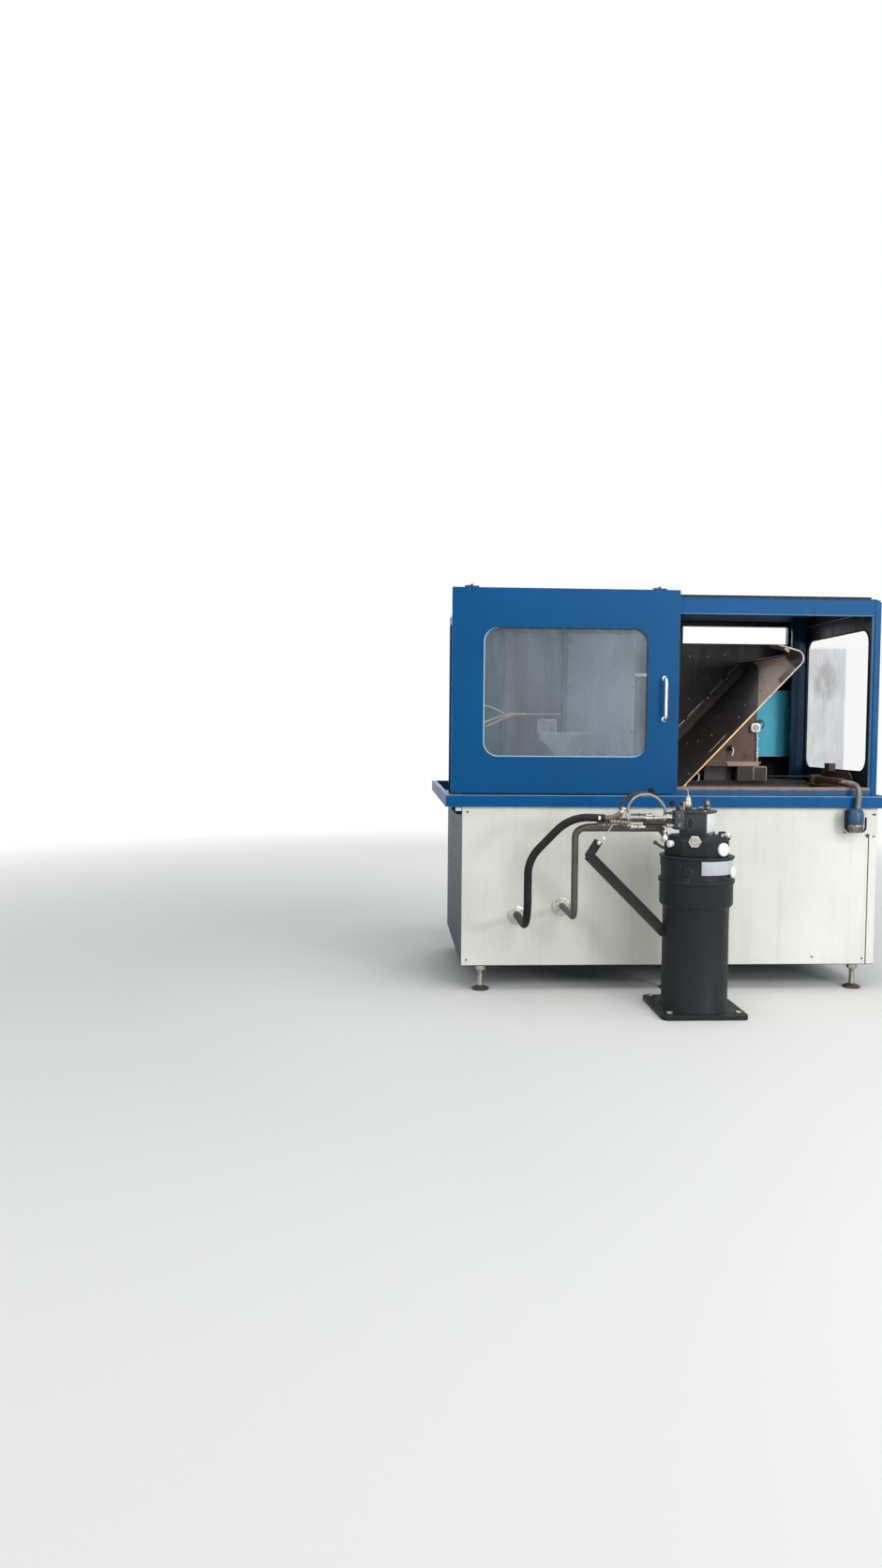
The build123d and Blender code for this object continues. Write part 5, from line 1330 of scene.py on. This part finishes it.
def make_switch():
    """White rounded switch with a ringed button, its connector, and the line down the edge."""
    low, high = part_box("limit_switch")
    middle = ((low.x + high.x) / 2, low.y + 0.003, (low.z + high.z) / 2)
    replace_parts(join("limit_switch_body", [
        bar((low.x - 0.001, low.y + 0.003, low.z + 0.004),
            (high.x + 0.001, high.y, high.z - 0.002), "switch_white", 0.004, (0.019, 1, 8),
            steps=3),
        turned(middle, FORWARD, (19.5, -1, 19.5, 1.4, 17.5, 2.6, 15.5, 2.6, 15, 0.8),
               "ring_grey", 0.0004, 36),
        turned(middle, FORWARD, (11, -1, 11, 2.2, 9, 3.4, 3.5, 3.8), "ring_grey", 0.0004, 28)]),
        "limit_switch")
    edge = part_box("slide_column")[1].x
    y = high.y - 0.010
    join("switch_wiring", [
        pipe([(edge - 0.006, y, 1.502), (edge + 0.030, y, 1.514), (edge + 0.042, y, 1.478),
              (edge + 0.012, y + 0.004, 1.452), (edge - 0.004, y + 0.004, 1.460)],
             [0.010, 0.012, 0.010], 0.0045, "teal_dark", 12),
        turned((edge + 0.004, y, 1.504), (1, 0, 0.25), (9.5, 0, 9.5, 14, 7, 16, 7, 24),
               "dark_fitting", 0.0008, 6),
        pipe([(edge - 0.004, y, low.z + 0.004), (edge + 0.003, y - 0.002, 1.400),
              (edge + 0.002, y - 0.002, 1.262)], [0.08], 0.0028, "white_cap", 10),
        *(turned((edge + 0.0025, y - 0.002, z), UP, (1000, -6, 1000, 4, 700, 7), "white_cap",
                 0.0008, 12, size=size)
          for z, size in ((1.402, 0.0062), (1.338, 0.0075), (1.318, 0.0062), (1.296, 0.0075)))])


# Behind the door: tower plates, support, leads and the sheet that closes the wall's top


def make_tower_parts():
    """Cover plates and dark slots on the tower's front, and the pale bar at its right."""
    low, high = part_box("guide_tower")
    face = low.y
    join("tower_parts", [
        *(bar((left, face - 0.006, 1.10), (right, face + 0.001, high.z - 0.012), material,
              0.0015)
          for left, right, material in ((-0.840, -0.592, "brown_plate"),
                                        (-0.540, -0.492, "brown_plate"),
                                        (-0.448, -0.020, "grey_plate"))),
        *(bar((x - 0.020, face - 0.0015, 1.68), (x + 0.016, face + 0.001, high.z - 0.02),
              "black_rubber", 0.0004) for x in (-0.566, -0.470)),
        *(hex_nut((x, face - 0.006, 1.16 + 0.28 * row), FORWARD, 0.008, 0.006, "dark_fitting")
          for row in range(4) for x in (-0.826, -0.606, -0.434, -0.034)),
        bar((-0.030, face - 0.020, 1.788), (0.018, face - 0.005, 1.806), "white_cap", 0.002),
        bar((-0.018, face - 0.022, 1.786), (0.106, face - 0.014, 1.806), "white_cap", 0.002)])


def make_inductor():
    """Two copper leads that join the inductor bar, its thin end, and painted highlights on the
    work support.
    """
    y = 0.100
    near = y - 0.014
    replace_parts(join("inductor", [
        *(pipe(route, bends, radius, "copper", 14) for route, bends, radius in (
            ([(-1.126, y, 1.610), (-1.060, y, 1.606), (-0.943, y, 1.576), (-0.872, y, 1.541)],
             [0.10, 0.14], 0.0048),
            ([(-1.126, y, 1.452), (-1.040, y, 1.470), (-0.924, y, 1.517), (-0.823, y, 1.540)],
             [0.10, 0.14], 0.0060),
            ([(-0.990, near, 1.462), (-0.955, near, 1.477), (-0.873, near, 1.515),
              (-0.815, y - 0.010, 1.537)], [0.10, 0.12], 0.0052))),
        turned((-0.858, y, 1.539), (1, 0, 0.002), (7.8, 0, 7.8, 106, 3.5, 116, 3, 330), "copper",
               0.0006, 18)]), "inductor_leads")
    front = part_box("work_pedestal")[0].y - 0.001
    # Painted highlights: pale bars along the work support's edges and top.
    join("support_edge_highlights", [
        bar((left, front, foot), (right, front + 0.004, top), "support_highlight_iron", 0.0012)
        for left, foot, right, top in (
            (-0.680, 1.500, -0.574, 1.508), (-0.582, 1.428, -0.574, 1.508),
            (-0.664, 1.420, -0.360, 1.428))])


# Enclosure: strips, lips, window seals, clips, knobs, screws and small trim


def make_post_strip():
    """Folded strip that covers the gap at the left of the right mid post."""
    low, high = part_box("mid_right_post")
    foot = (low.x - 0.036, low.y + 0.001, low.z + 0.002)
    join("post_strip", [
        bar(foot, (low.x + 0.002, low.y + 0.006, high.z - 0.004), "blue_enamel", 0.0008),
        bar(foot, (low.x - 0.033, low.y + 0.024, high.z - 0.004), "blue_enamel", 0.0006)])


def make_edge_lips():
    """Folded lips: a painted highlight under the front rail, beside the front posts, and along
    both side rails.
    """
    low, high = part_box("front_top_rail")
    sill_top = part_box("front_sill")[1].z
    # Painted highlight: pale lip along the bend under the front rail.
    bar((low.x + 0.002, low.y - 0.0006, low.z - 0.0005),
        (high.x - 0.002, low.y + 0.004, low.z + 0.0045), "lip_highlight_blue", 0.0006,
        name="front_rail_highlight_lip")
    for label, post, rail, lip, seam in (("right", high.x, 0, (0.012, 0), (0.0025, 0.003)),
                                         ("left", -high.x, 1, (0, 0.012), (0.003, 0.0025))):
        bar((post - lip[0], low.y + 0.004, sill_top + 0.002),
            (post + lip[1], low.y + 0.010, low.z - 0.001), "lip_grey", 0.0008,
            name=label + "_post_lip")
        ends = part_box(label + "_top_rail")
        inner = ends[rail].x
        bar((inner - seam[0], ends[0].y + 0.002, ends[0].z - 0.002),
            (inner + seam[1], ends[1].y - 0.002, ends[0].z + 0.004), "grey_plate", 0.0008,
            name=label + "_rail_seam")


def make_box_trim():
    """Painted highlights on the teal box's edges, its black hinges, and the rod by the bed."""
    low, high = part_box("transformer_box")
    join("box_trim", [
        # Painted highlights: pale bars along the box's top and bottom edges.
        *(bar((low.x + 0.004, low.y - 0.003, z - 0.004),
              (high.x - 0.004, low.y + 0.003, z + 0.004), "teal_box_highlight", 0.0012)
          for z in (low.z + 0.004, high.z - 0.004)),
        *(bar((high.x - 0.010, low.y - 0.006, z - 0.055), (high.x, low.y + 0.002, z + 0.055),
              "black_rubber", 0.0012) for z in (high.z - 0.060, low.z + 0.060)),
        rod((0.690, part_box("slide_bed")[0].y - 0.004, 1.180), RIGHT, 0.0020, 0.245,
            "brown_pipe", 0.0005, 12)])


def make_cover_sheet():
    """Sheet that closes the gap above the rear wall behind the parked door."""
    low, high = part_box("rear_wall")
    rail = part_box("rear_top_rail")[0].z
    join("rear_cover_sheet", [
        bar((low.x + 0.004, low.y - 0.002, high.z - 0.030), (0.400, low.y - 0.0004, rail + 0.020),
            "dark_steel", 0.0005),
        *(hex_nut((low.x + 0.06 + 0.15 * number, low.y - 0.002, high.z - 0.014), FORWARD, 0.007,
                  0.005, "dark_fitting") for number in range(10))])


def make_side_seals():
    """Rubber strips round both side windows, inside and outside the sheet."""
    low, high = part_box("right_side_glass")
    size = high - low
    sheet_face = 1.137
    for side, label in ((1, "right"), (-1, "left")):
        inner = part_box(label + "_side_panel")[0 if side > 0 else 1].x
        join(label + "_window_seal", [
            seal_ring(Vector((x, (low.y + high.y) / 2, (low.z + high.z) / 2)),
                      size.y - 2 * PANE_LAP + more, size.z - 2 * PANE_LAP + more, radius, band,
                      0.0025, Vector((way, 0, 0)), "black_rubber", 0.0007)
            for x, more, radius, band, way in ((inner, 0.010, 0.084, 0.010, -side),
                                               (side * sheet_face, 0.030, 0.09, 0.016, side))])


def make_front_trim():
    """Door knob, rim plug, painted highlight on the rim edge, edge clips, base screws, lock and
    corner tab.
    """
    turned((-0.124, DOOR_FACE, 1.114), FORWARD, (16.5, 0, 16.5, 3, 13, 5, 13, 10, 6, 12),
           "black_rubber", 0.0008, 28, name="door_lock_knob", body="door")
    turned((-0.007, TRAY_FRONT, 1.046), FORWARD, (16, -3, 16, 2, 13.5, 4, 4, 4.5),
           "black_rubber", 0.0006, 28, name="rim_plug")
    low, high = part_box("tray_front_rim")
    # Painted highlight: pale line along the rim's top front edge.
    bar((low.x + 0.002, low.y - 0.0004, high.z - 0.003),
        (high.x - 0.002, low.y + 0.003, high.z + 0.0004), "rim_highlight_blue", 0.0004,
        name="rim_highlight_line")
    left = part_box("door_leaf")[0].x
    clips = join("door_edge_clips", [
        bar((left - 0.0005, DOOR_FACE + 0.004, z - 0.016),
            (left + 0.005, DOOR_FACE + 0.020, z + 0.016), "black_rubber", 0.0012, body="door")
        for z in (1.652, 1.450, 1.264)])
    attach(clips, "door")
    low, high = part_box("socket_plate")
    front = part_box("base_front_panels")[0].y
    spots = [(0.813, 0.181, front), (1.1495, 0.861, front),
             (high.x - 0.016, high.z - 0.030, low.y), (high.x - 0.026, high.z - 0.030, low.y),
             (low.x + 0.012, low.z + 0.012, low.y), (low.x + 0.012, high.z - 0.012, low.y)]
    spots += [(x, z, front) for x in (-1.140, -0.02, 0.02, 1.10) for z in (0.170, 0.990)]
    screw = (5.5, 0, 5.5, 2.2, 4.2, 3.2, 1.6, 3.2, 1.5, 1.6)
    join("base_screws", [turned((x, y + 0.0005, z), FORWARD, screw, "dark_fitting", 0.0004, 16)
                         for x, z, y in spots])
    turned((1.113, front, 0.866), FORWARD, (11, 0, 11, 4, 8, 5, 5.5, 3, 5.2, 0.5), "clip_steel",
           0.0005, 28, name="base_lock")
    join("corner_tab", [
        bar((-1.206, -0.486, 0.996), (-1.172, -0.482, 1.0195), "white_cap", 0.0006, (0.003, 1)),
        bar((-1.206, -0.486, 1.015), (-1.172, -0.455, 1.0195), "white_cap", 0.0006)])


def make_feet():
    """Levelling feet: dished pad, threaded spindle, lock nut."""
    low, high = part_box("levelling_feet")
    pieces = []
    for y in (low.y + 0.048, high.y - 0.048):
        for x in (low.x + 0.048, 0.0, high.x - 0.048):
            pieces += [
                turned((x, y, 0), UP, (46, 0, 48, 3, 48, 9, 40, 14, 24, 20, 18, 24),
                       "clip_steel", 0.0008, 40),
                turned((x, y, 0), UP, thread(13, 15, 22, 22, 4), "plain_steel", sides=20),
                turned((x, y, 0), UP, (29, 110, 30, 112, 30, 134, 27, 136), "plain_steel",
                       0.001, 6)]
    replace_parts(join("machine_feet", pieces), "levelling_feet")


make_door_handle()
make_door_fold()
make_hangers()
make_conduit()
make_plug()
make_unit_body()
make_valve_block()
make_unit_fittings()
make_manifold()
make_loop()
make_hose()
make_return_pipe()
make_chute_hem()
make_chute_strips()
make_lit_patch()
make_column_parts()
make_switch()
make_tower_parts()
make_inductor()
make_post_strip()
make_edge_lips()
make_box_trim()
make_cover_sheet()
make_side_seals()
make_front_trim()
make_feet()
make_wall_flanges()
make_arm()


# Studio

WHITE = (1.0, 1.0, 1.0, 1.0)


def soft_lamp(name, place, aim, width, height, watts):
    """Large soft lamp that points at one place."""
    data = bpy.data.lights.new(name, "AREA")
    data.shape = "RECTANGLE"
    data.size = width
    data.size_y = height
    data.energy = watts
    lamp = bpy.data.objects.new(name, data)
    scene.collection.objects.link(lamp)
    lamp.location = place
    lamp.rotation_euler = (Vector(aim) - Vector(place)).to_track_quat("-Z", "Y").to_euler()


def seen_plain(coat):
    """One where the camera, a reflection or a pane looks straight at the surface."""
    path = coat.add("LightPath").outputs
    seen = coat.calc("MAXIMUM", path["Is Camera Ray"], path["Is Glossy Ray"])
    return coat.calc("MAXIMUM", seen, path["Is Transmission Ray"])


def blend(coat, share, first, second, end):
    """Two shaders blended into a tree's end node."""
    both = coat.add("MixShader", {0: share, 1: first.outputs[0], 2: second.outputs[0]})
    coat.tree.links.new(both.outputs[0], coat.tree.nodes[end].inputs[0])


def build_studio():
    """White surroundings, a pale floor that keeps the shadow, and soft lamps."""
    scene.world = bpy.data.worlds.new("studio")
    scene.world.use_nodes = True
    sky = Coat(scene.world.node_tree)
    dim = sky.fill(sky.tree.nodes["Background"], {0: (0.9, 0.95, 1.0, 1.0), 1: 0.3})
    white = sky.add("Background", {0: WHITE, 1: 1.0})
    blend(sky, seen_plain(sky), dim, white, "World Output")

    bpy.ops.mesh.primitive_plane_add(size=60.0, location=(0, 0, 0))
    floor = bpy.context.object
    floor.name = "floor"
    coat = new_finish("pale_floor")
    coat.shade(paint((224, 224, 222)), 0.7)
    fade = coat.spread(coat.vector("LENGTH", coat.place, output="Value"), 3.0, 9.0)
    glow = coat.add("Emission", {0: WHITE, 1: 1.0})
    blend(coat, coat.times(fade, seen_plain(coat)), coat.tree.nodes["Principled BSDF"], glow,
          "Material Output")
    floor.data.materials.append(finishes["pale_floor"])

    soft_lamp("lamp_front", (1.9, -6.2, 4.4), (0.3, 0, 1.2), 4.0, 2.6, 165)
    soft_lamp("lamp_doorway", (3.2, -6.2, 1.9), (0.5, 0, 1.5), 1.5, 1.0, 105)
    soft_lamp("lamp_left", (-4.2, -5.2, 3.8), (0, 0, 1.1), 3.0, 3.0, 70)
    soft_lamp("lamp_right", (4.4, -4.6, 3.2), (0.2, 0, 1.1), 3.0, 2.4, 60)
    soft_lamp("lamp_top", (0.3, -0.8, 5.6), (0.2, 0.2, 1.0), 4.0, 3.0, 120)
    soft_lamp("lamp_back", (0.5, 5.5, 3.6), (0, 0, 1.2), 4.0, 2.5, 110)


set_camera()
build_studio()
scene.view_settings.view_transform = "Standard"
